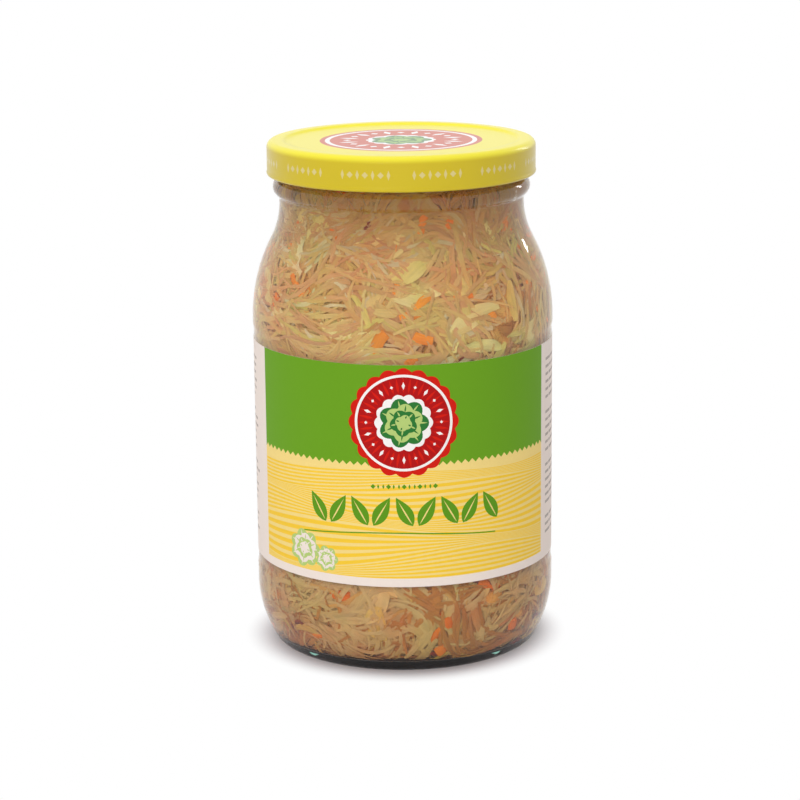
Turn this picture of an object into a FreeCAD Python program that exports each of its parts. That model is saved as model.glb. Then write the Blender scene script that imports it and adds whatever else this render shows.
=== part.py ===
import FreeCAD, Part
import math
import os
import re

import Sketcher

# A shut glass preserving jar of shredded pickled cabbage with carrot: a round glass body with
# a rounded heel, a recessed label panel, a sloping shoulder and a six-ridge finish, a pressed
# tinplate twist cap with its sealing ring, a paper wrap label, the packed shreds and the brine.
# Millimetres. The axis is Z, the base plane is z = 0 and the label's front faces -Y.

# ---------------------------------------------------------------------------
# Driving dimensions: every cell holds a plain number
# ---------------------------------------------------------------------------
SIZES = [
    # glass body
    ("body_radius", 47.75, "radius of the body at its two bumpers"),
    ("heel_corner", 3.7, "small radius between the base and the heel"),
    ("heel_sweep", 37.1, "large radius of the heel"),
    ("heel_rise", 20.0, "height where the heel runs out into the side"),
    ("side_rise", 85.5, "height of the straight side"),
    ("shoulder_rise", 37.0, "height from the side's top to the narrowest neck"),
    ("shoulder_share", 0.684, "share of that rise that is convex"),
    ("neck_radius", 38.55, "radius of the narrowest neck"),
    ("wall", 2.45, "glass thickness of the side"),
    ("floor_wall", 3.3, "glass thickness of the bottom"),
    ("inner_corner", 5.0, "inside radius between the bottom and the heel"),
    ("push_up", 3.6, "rise of the domed bottom at its middle"),
    ("bearing_width", 3.3, "width of the flat ring that the jar stands on"),
    ("recess_depth", 0.25, "depth of the label panel"),
    ("recess_lift", 5.0, "side left below the label panel"),
    ("recess_drop", 1.5, "side left above the label panel"),
    ("recess_edge", 1.5, "height of the slope at each end of the label panel"),
    # finish of the glass
    ("bead_rise", 4.7, "middle of the bead above the narrowest neck"),
    ("bead_reach", 1.95, "how far the bead stands out from the neck"),
    ("bead_round", 3.0, "section radius of the bead"),
    ("bead_blend", 1.5, "radius between the bead and the walls beside it"),
    ("finish_rise", 13.3, "rim above the middle of the bead"),
    ("finish_step", 0.35, "how far the finish stands out from the neck"),
    ("rim_round", 0.9, "radius of the rim's two edges"),
    ("ridge_reach", 1.35, "how far a ridge stands out"),
    ("ridge_width", 1.9, "height of a ridge's section at its root"),
    ("ridge_crest", 0.8, "height of a ridge's section at its crest"),
    ("ridge_climb", 2.2, "how far a ridge climbs along its length"),
    ("ridge_span", 42.0, "angle that a ridge covers"),
    ("ridge_count", 6, "ridges on the finish and lugs on the cap"),
    # cap and its sealing ring
    ("sheet_metal", 0.25, "thickness of the tinplate"),
    ("skirt_gap", 3.05, "gap between the finish and the skirt"),
    ("skirt_drop", 10.8, "whole height of the cap"),
    ("cap_shoulder", 2.2, "outside radius between the cap's top and its skirt"),
    ("ring_set", 0.9, "raised rim ring's inner edge, outside the bore"),
    ("panel_step", 0.65, "how far the panel lies below the rim ring"),
    ("step_run", 0.9, "width of the slope between them"),
    ("curl_round", 0.8, "outside radius of the rolled edge"),
    ("curl_proud", 0.15, "how far the rolled edge stands out from the skirt"),
    ("lug_reach", 1.35, "how far a lug reaches in from the rolled edge"),
    ("lug_half", 0.55, "half of a lug's height"),
    ("lug_span", 14.0, "angle that a lug covers"),
    ("lug_play", 0.12, "gap between a lug and the ridge above it"),
    ("shut_turn", 9.0, "turn of the shut cap from the foot of the ridges"),
    ("seal_thick", 1.05, "thickness of the sealing ring"),
    ("seal_inset", 0.3, "ring's outer edge inside the cap's shoulder"),
    # paper label
    ("paper", 0.12, "thickness of the label"),
    ("label_lift", 9.5, "side left below the label"),
    ("label_drop", 6.0, "side left above the label"),
    ("lap_span", 9.0, "angle of the glued overlap at the back"),
    # contents
    ("head_room", 3.4, "free height between the brine and the cap's panel"),
    ("brine_film", 0.95, "mean gap between the packed shreds and the glass"),
    ("shred_relief", 0.4, "unevenness of the packed shreds at the glass"),
    ("top_relief", 1.1, "unevenness of the top of the shreds"),
]

# Lengths that follow from the driving ones, as formulas over their names
SHOULDER_START = "(heel_rise + side_rise)"
NECK_LEVEL = f"({SHOULDER_START} + shoulder_rise)"
BEAD_LEVEL = f"({NECK_LEVEL} + bead_rise)"
RIM_TOP = f"({BEAD_LEVEL} + finish_rise)"
SHOULDER_STEP = "(body_radius - neck_radius)"
SHOULDER_SUM = f"((shoulder_rise^2 + {SHOULDER_STEP}^2) / (2 * {SHOULDER_STEP}))"
SHOULDER_SWEEP = f"(shoulder_share * {SHOULDER_SUM})"
BORE = "(neck_radius - wall)"
INNER_RADIUS = "(body_radius - wall)"
FINISH_RADIUS = "(neck_radius + finish_step)"
RECESS_RADIUS = "(body_radius - recess_depth)"
RECESS_LOW = "(heel_rise + recess_lift)"
RECESS_HIGH = f"({SHOULDER_START} - recess_drop)"
HEEL_REACH = "sqrt((heel_sweep - heel_corner)^2 - (heel_rise - heel_corner)^2)"
BEARING_INNER = f"(body_radius - heel_sweep + {HEEL_REACH} - bearing_width)"
DOME_SWEEP = f"(({BEARING_INNER}^2 + push_up^2) / (2 * push_up))"
FLOOR_TOP = "(push_up + floor_wall)"
CAP_TOP = f"({RIM_TOP} + seal_thick + sheet_metal)"
CAP_RADIUS = f"({FINISH_RADIUS} + skirt_gap + sheet_metal)"
RING_EDGE = f"({BORE} + ring_set)"
STEP_SHIFT = "(sheet_metal * (sqrt(step_run^2 + panel_step^2) - step_run) / panel_step)"
CURL_LEVEL = f"({CAP_TOP} - skirt_drop + curl_round)"
CURL_CENTRE = f"({CAP_RADIUS} + curl_proud - curl_round)"
LUG_TOP = f"({CURL_LEVEL} + lug_half)"
BRINE_LEVEL = f"({CAP_TOP} - sheet_metal - panel_step - head_room)"
LABEL_FOOT = "(heel_rise + label_lift)"
LABEL_TOP = f"({SHOULDER_START} - label_drop)"

doc = FreeCAD.newDocument("preserving_jar")
sheet = doc.addObject("Spreadsheet::Sheet", "Sizes")
for row, (alias, value, meaning) in enumerate(SIZES, start=1):
    sheet.set(f"A{row}", meaning)
    sheet.set(f"B{row}", str(value))
    sheet.setAlias(f"B{row}", alias)
doc.recompute()

ALIASES = re.compile(r"\b(" + "|".join(alias for alias, _, _ in SIZES) + r")\b")


def bound(formula):
    """The formula with every size named as its cell in the sheet."""
    return ALIASES.sub(r"Sizes.\1", formula)


def number(formula):
    """The formula's present value in millimetres or degrees."""
    return float(sheet.evalExpression(formula))


# ---------------------------------------------------------------------------
# Sketched outlines
# ---------------------------------------------------------------------------
H_AXIS, V_AXIS = -1, -2
START, END, CENTRE = 1, 2, 3


def origin_plane(body, role):
    """One of the body's own origin planes or axes."""
    return next(item for item in body.Origin.OriginFeatures if item.Role == role)


def polar(centre, radius, degrees):
    """The point at a radius and an angle from a centre, in the sketch."""
    angle = math.radians(degrees)
    return (centre[0] + radius * math.cos(angle), centre[1] + radius * math.sin(angle))


def bearing_of(centre, point):
    """Angle of a point seen from a centre, in degrees."""
    return math.degrees(math.atan2(point[1] - centre[1], point[0] - centre[0]))


def between(centre, other, distance):
    """The point at a distance from a centre on the way to another point."""
    return polar(centre, distance, bearing_of(centre, other))


class Outline:
    """A closed sketch outline, drawn piece after piece and tied to the sheet."""

    def __init__(self, body, name, plane="XZ_Plane"):
        self.sketch = body.newObject("Sketcher::SketchObject", name)
        self.sketch.AttachmentSupport = (origin_plane(body, plane), "")
        self.sketch.MapMode = "FlatFace"
        self.pieces = []

    def tie(self, *constraint):
        """Add one constraint; a last item that is a formula binds it to the sheet."""
        formula = constraint[-1] if isinstance(constraint[-1], str) else None
        if formula:
            constraint = constraint[:-1] + (number(formula),)
        index = self.sketch.addConstraint(Sketcher.Constraint(*constraint))
        if formula:
            self.sketch.setExpression(f"Constraints[{index}]", bound(formula))

    def join(self, geometry, first, last, smooth):
        """Join a new piece to the one before it, flush or with a corner."""
        index = self.sketch.addGeometry(geometry, False)
        if self.pieces:
            before, _, before_last = self.pieces[-1]
            kind = "Tangent" if smooth else "Coincident"
            self.tie(kind, before, before_last, index, first)
        self.pieces.append((index, first, last))
        return index

    def line(self, start, end, smooth=False):
        """A straight piece from start to end."""
        points = [FreeCAD.Vector(*point, 0) for point in (start, end)]
        return self.join(Part.LineSegment(*points), START, END, smooth)

    def arc(self, centre, start, end, clockwise, smooth=True):
        """A round piece about a centre; its sketch arc always runs anticlockwise."""
        low, high = (end, start) if clockwise else (start, end)
        circle = Part.Circle(FreeCAD.Vector(*centre, 0), FreeCAD.Vector(0, 0, 1),
                             math.dist(centre, start))
        angles = [math.radians(bearing_of(centre, point)) for point in (low, high)]
        if angles[1] <= angles[0]:
            angles[1] += 2 * math.pi
        ends = (END, START) if clockwise else (START, END)
        return self.join(Part.ArcOfCircle(circle, *angles), *ends, smooth)

    def at(self, x=None, y=None, mark=None):
        """Place the last piece's end, or its marked point, by formulas."""
        index, _, last = self.pieces[-1]
        self.place(index, mark or last, x, y)

    def at_start(self, x=None, y=None):
        """Place the first piece's start by formulas."""
        index, first, _ = self.pieces[0]
        self.place(index, first, x, y)

    def place(self, index, mark, x, y):
        """Tie a point's two coordinates; a zero puts it on an axis."""
        for value, kind, axis in ((x, "DistanceX", V_AXIS), (y, "DistanceY", H_AXIS)):
            if value == 0:
                self.tie("PointOnObject", index, mark, axis)
            elif value is not None:
                self.tie(kind, H_AXIS, START, index, mark, value)

    def radius(self, formula):
        """Tie the last arc's radius."""
        self.tie("Radius", self.pieces[-1][0], formula)

    def upright(self):
        """Make the last line vertical."""
        self.tie("Vertical", self.pieces[-1][0])

    def level(self):
        """Make the last line horizontal."""
        self.tie("Horizontal", self.pieces[-1][0])

    def close(self):
        """Join the last piece to the first."""
        index, _, last = self.pieces[-1]
        start, first, _ = self.pieces[0]
        self.tie("Coincident", index, last, start, first)
        return self.sketch


def polygon(body, name, corners, plane="XZ_Plane"):
    """A sketch of straight sides whose corners are pairs of formulas."""
    outline = Outline(body, name, plane)
    points = [(number(x), number(y)) for x, y in corners]
    for start, end, corner in zip(points, points[1:] + points[:1], corners[1:] + corners[:1]):
        outline.line(start, end)
        outline.at(*corner)
    return outline.close()


def revolve(body, name, sketch, degrees=None):
    """Turn a sketch about the upright axis, whole or through an angle across its plane."""
    feature = body.newObject("PartDesign::Revolution", name)
    feature.Profile = sketch
    feature.ReferenceAxis = (sketch, ["V_Axis"])
    feature.Angle = 360
    if degrees:
        feature.Midplane = True
        feature.setExpression("Angle", bound(degrees))
    sketch.Visibility = False
    body.Tip = feature
    return feature


def ring_of(body, name, feature, count):
    """Repeat a feature evenly about the upright axis."""
    pattern = body.newObject("PartDesign::PolarPattern", name)
    pattern.Originals = [feature]
    pattern.Axis = (origin_plane(body, "Z_Axis"), [""])
    pattern.Angle = 360
    pattern.setExpression("Occurrences", bound(count))
    body.Tip = pattern
    return pattern


# ---------------------------------------------------------------------------
# The inside of the glass, shared by the jar and the brine
# ---------------------------------------------------------------------------
def crossing(centre_a, radius_a, centre_b, radius_b):
    """The outer crossing of two circles, right of the line between their centres."""
    span = math.dist(centre_a, centre_b)
    along = (radius_a ** 2 - radius_b ** 2 + span ** 2) / (2 * span)
    aside = math.sqrt(radius_a ** 2 - along ** 2)
    ux, uy = ((b - a) / span for a, b in zip(centre_a, centre_b))
    return (centre_a[0] + along * ux + aside * uy, centre_a[1] + along * uy - aside * ux)


class Cavity:
    """Centres, radii and joints of the arcs that make the inside of the glass."""

    def __init__(self):
        self.bore = number(BORE)
        self.side = number(INNER_RADIUS)
        self.heel_level = number("heel_rise")
        self.shoulder_level = number(SHOULDER_START)
        self.neck_level = number(NECK_LEVEL)
        self.floor_top = (0.0, number(FLOOR_TOP))
        self.floor_radius = number(f"{DOME_SWEEP} + floor_wall")
        self.floor_centre = (0.0, self.floor_top[1] - self.floor_radius)
        self.heel_radius = number("heel_sweep - wall")
        self.heel_centre = (self.side - self.heel_radius, self.heel_level)
        self.corner_radius = number("inner_corner")
        self.corner_centre = crossing(
            self.floor_centre, self.floor_radius + self.corner_radius,
            self.heel_centre, self.heel_radius - self.corner_radius)
        self.floor_end = between(self.floor_centre, self.corner_centre, self.floor_radius)
        self.heel_start = between(self.heel_centre, self.corner_centre, self.heel_radius)
        self.shoulder_radius = number(f"{SHOULDER_SWEEP} - wall")
        self.shoulder_centre = (self.side - self.shoulder_radius, self.shoulder_level)
        self.neck_sweep = number(f"{SHOULDER_SUM} - {SHOULDER_SWEEP} + wall")
        self.neck_centre = (self.bore + self.neck_sweep, self.neck_level)
        self.turn = between(self.shoulder_centre, self.neck_centre, self.shoulder_radius)

    def radius_at(self, height):
        """Inside radius at a height above the bottom corner."""
        if height >= self.neck_level:
            return self.bore
        if height > self.turn[1]:
            rise = self.neck_level - height
            return self.neck_centre[0] - math.sqrt(self.neck_sweep ** 2 - rise ** 2)
        if height > self.shoulder_level:
            rise = height - self.shoulder_level
            return self.shoulder_centre[0] + math.sqrt(self.shoulder_radius ** 2 - rise ** 2)
        fall = max(self.heel_level - height, 0.0)
        return self.heel_centre[0] + math.sqrt(self.heel_radius ** 2 - fall ** 2)

    def floor_at(self, radius):
        """Height of the domed inside bottom at a radius."""
        return self.floor_centre[1] + math.sqrt(self.floor_radius ** 2 - radius ** 2)

    def draw(self, outline, top, top_formula):
        """Draw the inside from the middle of the bottom up the wall to a height."""
        side_foot = (self.side, self.heel_level)
        side_top = (self.side, self.shoulder_level)
        outline.arc(self.floor_centre, self.floor_top, self.floor_end, True, smooth=False)
        outline.at(x=0, mark=CENTRE)
        outline.at_start(x=0, y=FLOOR_TOP)
        outline.radius(f"{DOME_SWEEP} + floor_wall")
        outline.arc(self.corner_centre, self.floor_end, self.heel_start, False)
        outline.radius("inner_corner")
        outline.arc(self.heel_centre, self.heel_start, side_foot, False)
        outline.radius("heel_sweep - wall")
        outline.at(INNER_RADIUS, "heel_rise")
        outline.line(side_foot, side_top, smooth=True)
        outline.upright()
        outline.at(y=SHOULDER_START)
        outline.arc(self.shoulder_centre, side_top, self.turn, False)
        outline.radius(f"{SHOULDER_SWEEP} - wall")
        outline.arc(self.neck_centre, self.turn, (self.bore, self.neck_level), True)
        outline.at(BORE, NECK_LEVEL)
        outline.line((self.bore, self.neck_level), (self.bore, top), smooth=True)
        outline.upright()
        outline.at(y=top_formula)


cavity = Cavity()


# ---------------------------------------------------------------------------
# Glass jar
# ---------------------------------------------------------------------------
def draw_rim(outline):
    """Round both edges of the rim about a narrow flat top."""
    rim_top, rim_round = number(RIM_TOP), number("rim_round")
    inner = (cavity.bore + rim_round, rim_top - rim_round)
    outer = (number(FINISH_RADIUS) - rim_round, rim_top - rim_round)
    outline.arc(inner, polar(inner, rim_round, 180), polar(inner, rim_round, 90), True)
    outline.radius("rim_round")
    outline.line(polar(inner, rim_round, 90), polar(outer, rim_round, 90), smooth=True)
    outline.level()
    outline.arc(outer, polar(outer, rim_round, 90), polar(outer, rim_round, 0), True)
    outline.radius("rim_round")
    return polar(outer, rim_round, 0)


def draw_finish(outline, start):
    """Go down the outside of the finish, over the bead, to the narrowest neck."""
    finish, neck = number(FINISH_RADIUS), number("neck_radius")
    crest, blend = number("bead_round"), number("bead_blend")
    bead = (number("neck_radius + bead_reach - bead_round"), number(BEAD_LEVEL))
    reach = crest + blend
    upper = (finish + blend, bead[1] + math.sqrt(reach ** 2 - (finish + blend - bead[0]) ** 2))
    lower = (neck + blend, bead[1] - math.sqrt(reach ** 2 - (neck + blend - bead[0]) ** 2))
    bead_start = between(bead, upper, crest)
    bead_end = between(bead, lower, crest)
    outline.line(start, polar(upper, blend, 180), smooth=True)
    outline.upright()
    outline.at(x=FINISH_RADIUS)
    outline.arc(upper, polar(upper, blend, 180), bead_start, False)
    outline.radius("bead_blend")
    outline.arc(bead, bead_start, bead_end, True)
    outline.radius("bead_round")
    outline.at("neck_radius + bead_reach - bead_round", BEAD_LEVEL, mark=CENTRE)
    outline.arc(lower, bead_end, polar(lower, blend, 180), False)
    outline.radius("bead_blend")
    outline.line(polar(lower, blend, 180), (neck, cavity.neck_level), smooth=True)
    outline.upright()
    outline.at("neck_radius", NECK_LEVEL)


def draw_side(outline):
    """Go down the shoulder and the side with its label panel to the top of the heel."""
    body, neck = number("body_radius"), number("neck_radius")
    shoulder = number(SHOULDER_SWEEP)
    neck_sweep = number(f"{SHOULDER_SUM} - {SHOULDER_SWEEP}")
    neck_centre = (neck + neck_sweep, cavity.neck_level)
    shoulder_centre = (body - shoulder, cavity.shoulder_level)
    turn = between(shoulder_centre, neck_centre, shoulder)
    outline.arc(neck_centre, (neck, cavity.neck_level), turn, False)
    outline.arc(shoulder_centre, turn, (body, cavity.shoulder_level), True)
    outline.radius(SHOULDER_SWEEP)
    outline.at("body_radius", SHOULDER_START)
    corners = [("body_radius", RECESS_HIGH),
               (RECESS_RADIUS, f"{RECESS_HIGH} - recess_edge"),
               (RECESS_RADIUS, f"{RECESS_LOW} + recess_edge"),
               ("body_radius", RECESS_LOW),
               ("body_radius", "heel_rise")]
    start = (body, cavity.shoulder_level)
    for place, (x, y) in enumerate(corners):
        end = (number(x), number(y))
        outline.line(start, end, smooth=place == 0)
        if place % 2 == 0:
            outline.upright()
            outline.at(y=y)
        else:
            outline.at(x, y)
        start = end


def draw_base(outline):
    """Go round the heel, across the bearing ring and up the domed bottom."""
    body, sweep, small = number("body_radius"), number("heel_sweep"), number("heel_corner")
    inner = number(BEARING_INNER)
    heel = (body - sweep, cavity.heel_level)
    corner = (inner + number("bearing_width"), small)
    heel_end = between(heel, corner, sweep)
    outline.arc(heel, (body, cavity.heel_level), heel_end, True)
    outline.radius("heel_sweep")
    outline.arc(corner, heel_end, (corner[0], 0.0), True)
    outline.radius("heel_corner")
    flat = outline.line((corner[0], 0.0), (inner, 0.0), smooth=True)
    outline.level()
    outline.at(y=0)
    outline.tie("Distance", flat, START, flat, END, "bearing_width")
    dome = (0.0, number(f"push_up - {DOME_SWEEP}"))
    outline.arc(dome, (inner, 0.0), (0.0, number("push_up")), False, smooth=False)
    outline.at(x=0, mark=CENTRE)
    outline.at(x=0, y="push_up")
    outline.line((0.0, number("push_up")), cavity.floor_top)


def add_ridges(body):
    """Six slanted ridges on the finish, which the cap's lugs slide under."""
    foot = f"({LUG_TOP} + lug_play)"
    root = f"({FINISH_RADIUS} - rim_round / 2)"
    crest = f"({FINISH_RADIUS} + ridge_reach)"
    slope = "(ridge_width - ridge_crest) / 2"
    section = polygon(body, "ridge_section", [
        (root, foot),
        (FINISH_RADIUS, foot),
        (crest, f"{foot} + {slope}"),
        (crest, f"{foot} + {slope} + ridge_crest"),
        (FINISH_RADIUS, f"{foot} + ridge_width"),
        (root, f"{foot} + ridge_width")])
    ridge = body.newObject("PartDesign::AdditiveHelix", "ridge")
    ridge.Profile = section
    ridge.ReferenceAxis = (section, ["V_Axis"])
    ridge.Mode = "height-turns-angle"
    ridge.setExpression("Height", bound("ridge_climb"))
    ridge.setExpression("Turns", bound("ridge_span / 360"))
    section.Visibility = False
    body.Tip = ridge
    ring_of(body, "ridges", ridge, "ridge_count")


def make_jar():
    """The glass: one outline turned about the axis, and the ridges of the finish."""
    body = doc.addObject("PartDesign::Body", "jar")
    outline = Outline(body, "glass_outline")
    cavity.draw(outline, number(f"{RIM_TOP} - rim_round"), f"{RIM_TOP} - rim_round")
    start = draw_rim(outline)
    draw_finish(outline, start)
    draw_side(outline)
    draw_base(outline)
    revolve(body, "glass", outline.close())
    doc.recompute()
    add_ridges(body)
    return body


# ---------------------------------------------------------------------------
# Tinplate cap
# ---------------------------------------------------------------------------
def make_lid():
    """The cap: one folded sheet with a raised rim ring, a rolled edge and six lugs."""
    body = doc.addObject("PartDesign::Body", "lid")
    outline = Outline(body, "sheet_outline")
    panel = f"({CAP_TOP} - panel_step)"
    curl = (number(CURL_CENTRE), number(CURL_LEVEL))
    bend_centre = (number(f"{CAP_RADIUS} - cap_shoulder"), number(f"{CAP_TOP} - cap_shoulder"))

    def run_to(x, y):
        """A straight stretch from the last point to a new one."""
        end = (number(x), 0.0 if y == 0 else number(y))
        outline.line(run_to.last, end)
        outline.at(x, y)
        run_to.last = end

    def bend_to(centre, x, y, radius, clockwise):
        """A round stretch from the last point to a new one."""
        end = (number(x), number(y))
        outline.arc(centre, run_to.last, end, clockwise, smooth=False)
        outline.radius(radius)
        outline.at(x, y)
        run_to.last = end

    run_to.last = (0.0, number(panel))
    run_to(f"{RING_EDGE} - step_run", panel)
    outline.at_start(x=0, y=panel)
    run_to(RING_EDGE, CAP_TOP)
    run_to(f"{CAP_RADIUS} - cap_shoulder", CAP_TOP)
    bend_to(bend_centre, CAP_RADIUS, f"{CAP_TOP} - cap_shoulder", "cap_shoulder", True)
    run_to(CAP_RADIUS, f"{CURL_LEVEL} + curl_round")
    run_to(f"{CAP_RADIUS} + curl_proud", CURL_LEVEL)
    bend_to(curl, CURL_CENTRE, f"{CURL_LEVEL} + curl_round", "curl_round", True)
    run_to(CURL_CENTRE, f"{CURL_LEVEL} + curl_round - sheet_metal")
    bend_to(curl, f"{CAP_RADIUS} + curl_proud - sheet_metal", CURL_LEVEL,
            "curl_round - sheet_metal", False)
    run_to(f"{CAP_RADIUS} - sheet_metal", f"{CURL_LEVEL} + curl_round")
    run_to(f"{CAP_RADIUS} - sheet_metal", f"{CAP_TOP} - cap_shoulder")
    bend_to(bend_centre, f"{CAP_RADIUS} - cap_shoulder", f"{CAP_TOP} - sheet_metal",
            "cap_shoulder - sheet_metal", False)
    run_to(f"{RING_EDGE} + {STEP_SHIFT}", f"{CAP_TOP} - sheet_metal")
    run_to(f"{RING_EDGE} - step_run + {STEP_SHIFT}", f"{panel} - sheet_metal")
    outline.line(run_to.last, (0.0, number(f"{panel} - sheet_metal")))
    outline.at(0, f"{panel} - sheet_metal")
    outline.line((0.0, number(f"{panel} - sheet_metal")), (0.0, number(panel)))
    revolve(body, "sheet", outline.close())
    lug_inner = f"({CURL_CENTRE} - curl_round - lug_reach)"
    section = polygon(body, "lug_section", [
        (lug_inner, f"{CURL_LEVEL} - lug_half"),
        (CURL_CENTRE, f"{CURL_LEVEL} - lug_half"),
        (CURL_CENTRE, LUG_TOP),
        (lug_inner, LUG_TOP)])
    lug = revolve(body, "lug", section, "lug_span")
    ring_of(body, "lugs", lug, "ridge_count")
    body.setExpression("Placement.Rotation.Angle", bound("shut_turn"))
    return body


def make_sealing_ring():
    """The soft ring under the cap's rim ring, resting on the flat of the rim."""
    body = doc.addObject("PartDesign::Body", "sealing_ring")
    inner = f"({RING_EDGE} + {STEP_SHIFT})"
    outer = f"({CAP_RADIUS} - cap_shoulder - seal_inset)"
    section = polygon(body, "ring_section", [
        (inner, RIM_TOP),
        (f"{outer} - seal_inset", RIM_TOP),
        (outer, f"{RIM_TOP} + seal_inset"),
        (outer, f"{CAP_TOP} - sheet_metal"),
        (inner, f"{CAP_TOP} - sheet_metal")])
    revolve(body, "ring", section)
    return body


# ---------------------------------------------------------------------------
# Paper label
# ---------------------------------------------------------------------------
def make_label():
    """The wrap label in its recess, with the glued overlap at the back."""
    body = doc.addObject("PartDesign::Body", "label")

    def strip(inner, outer):
        """The four corners of a strip of paper between two radii."""
        return [(inner, LABEL_FOOT), (outer, LABEL_FOOT), (outer, LABEL_TOP), (inner, LABEL_TOP)]

    face = f"({RECESS_RADIUS} + paper)"
    revolve(body, "wrap", polygon(body, "wrap_section", strip(RECESS_RADIUS, face)))
    lap = polygon(body, "lap_section", strip(f"({face} - paper / 2)", f"({face} + paper)"), "YZ_Plane")
    revolve(body, "lap", lap, "lap_span")
    return body


# ---------------------------------------------------------------------------
# Contents: the packed shreds and the brine round them
# ---------------------------------------------------------------------------
RING_POINTS = 18


def unevenness(angle, height):
    """Slow waves round and up the heap, between about -1 and 1."""
    slow = math.sin(2 * angle + 0.050 * height + 0.6)
    quick = math.sin(5 * angle - 0.110 * height + 2.1)
    cross = math.sin(3 * angle + 0.190 * height - 1.3)
    return (slow + 0.7 * quick + 0.8 * cross) / 2.5


def heap_ring(radius, height, relief, lift=0.0):
    """A closed curve round the heap: relief moves its points in and out, lift up and down."""
    points = []
    for step in range(RING_POINTS):
        angle = 2 * math.pi * step / RING_POINTS
        wave = unevenness(angle, height)
        reach = radius + relief * wave
        rise = height + lift * unevenness(angle + 1.0, height + radius)
        points.append(FreeCAD.Vector(reach * math.cos(angle), reach * math.sin(angle), rise))
    curve = Part.BSplineCurve()
    curve.interpolate(Points=points, PeriodicFlag=True)
    return Part.Wire(curve.toShape())


def heap_levels(low, high, count):
    """Heights evenly spaced above low, up to and including high."""
    return [low + (high - low) * (step + 1) / count for step in range(count)]


def make_sauerkraut():
    """The packed shreds, one solid out to their uneven outline inside the glass."""
    film, relief, top_relief = number("brine_film"), number("shred_relief"), number("top_relief")
    pole, corner = cavity.corner_radius, cavity.corner_centre
    rings = [heap_ring(pole, cavity.floor_at(pole) + film, 0.0)]
    for share in (0.5, 0.85):
        radius = share * cavity.floor_end[0]
        rings.append(heap_ring(radius, cavity.floor_at(radius) + film, relief / 2))
    for degrees in (-75, -45, -18):
        radius, height = polar(corner, cavity.corner_radius - film, degrees)
        rings.append(heap_ring(radius, height, relief / 2))
    top = number(f"{BRINE_LEVEL} - top_relief / 2")
    levels = heap_levels(cavity.heel_start[1] + film, cavity.heel_level, 3)
    levels += heap_levels(cavity.heel_level, cavity.shoulder_level, 6)
    levels += heap_levels(cavity.shoulder_level, cavity.neck_level, 5)
    levels += heap_levels(cavity.neck_level, top - 3 * top_relief, 2)
    rings += [heap_ring(cavity.radius_at(level) - film, level, relief) for level in levels]
    rim = cavity.bore - film
    for inset, drop in ((0.3 * top_relief, 1.2), (1.5 * top_relief, 0.3), (4 * top_relief, 0.0)):
        rings.append(heap_ring(rim - inset, top - drop * top_relief, relief / 2, top_relief / 2))
    rings.append(heap_ring(rim / 2, top, relief, top_relief))
    rings.append(heap_ring(pole, top, 0.0))
    heap = doc.addObject("Part::Feature", "sauerkraut")
    heap.Shape = Part.makeLoft(rings, True, True)
    heap.Placement = FreeCAD.Placement()
    return heap


def make_brine(heap):
    """The brine: the inside of the glass up to its level, less the shreds."""
    body = doc.addObject("PartDesign::Body", "brine_fill")
    outline = Outline(body, "brine_outline")
    level = number(BRINE_LEVEL)
    cavity.draw(outline, level, BRINE_LEVEL)
    outline.line((cavity.bore, level), (0.0, level))
    outline.level()
    outline.at(x=0)
    outline.line((0.0, level), cavity.floor_top)
    revolve(body, "fill", outline.close())
    brine = doc.addObject("Part::Cut", "brine")
    brine.Base = body
    brine.Tool = heap
    return brine


# ---------------------------------------------------------------------------
# Build, check and write
# ---------------------------------------------------------------------------
jar = make_jar()
lid = make_lid()
sealing_ring = make_sealing_ring()
label = make_label()
sauerkraut = make_sauerkraut()
brine = make_brine(sauerkraut)
doc.recompute()

for item in doc.Objects:
    if "Invalid" in item.State or "Error" in item.State:
        raise RuntimeError(f"{item.Name} did not build: {item.State}")

os.makedirs("parts", exist_ok=True)
for node in (jar, lid, sealing_ring, label, sauerkraut, brine):
    node.Label = node.Name
    shape = node.Shape
    if shape.isNull() or not shape.isValid() or len(shape.Solids) != 1:
        raise RuntimeError(f"{node.Label} is not one sound solid")
    shape.exportStep(f"parts/{node.Label}.step")
    box = shape.BoundBox
    print(f"{node.Label:13s} {shape.Volume / 1000:9.3f} cm3  z {box.ZMin:7.2f} to {box.ZMax:7.2f}"
          f"  x {box.XMin:7.2f} to {box.XMax:7.2f}")
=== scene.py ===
# %% [markdown]
# A shut glass jar of sauerkraut with carrot: flint glass with a yellow lacquered twist cap, a
# printed wrap label, and long wet shreds packed against the wall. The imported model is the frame:
# it says where the glass, the cap, the label and the contents are, and every piece made here
# rides on its one body. The box of the frame is kept, because looks may not change the size.

import math

import bmesh
import bpy
import numpy as np
from mathutils import Matrix, Vector
from mathutils.geometry import delaunay_2d_cdt


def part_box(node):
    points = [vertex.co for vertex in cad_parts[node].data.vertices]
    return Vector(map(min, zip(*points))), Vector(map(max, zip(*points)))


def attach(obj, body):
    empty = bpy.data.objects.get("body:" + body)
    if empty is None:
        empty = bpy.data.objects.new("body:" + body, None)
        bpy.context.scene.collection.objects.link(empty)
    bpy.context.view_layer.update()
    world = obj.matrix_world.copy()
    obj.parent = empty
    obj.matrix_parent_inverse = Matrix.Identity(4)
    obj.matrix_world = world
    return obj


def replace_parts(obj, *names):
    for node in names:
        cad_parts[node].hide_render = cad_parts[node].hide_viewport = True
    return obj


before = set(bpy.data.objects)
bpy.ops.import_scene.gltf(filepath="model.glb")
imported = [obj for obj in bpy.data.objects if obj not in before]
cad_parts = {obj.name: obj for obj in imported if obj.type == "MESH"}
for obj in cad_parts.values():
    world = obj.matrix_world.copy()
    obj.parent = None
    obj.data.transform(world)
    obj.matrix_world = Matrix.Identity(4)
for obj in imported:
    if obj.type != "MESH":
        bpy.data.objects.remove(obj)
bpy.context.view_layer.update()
MM = 0.001
scene = bpy.context.scene
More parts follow.
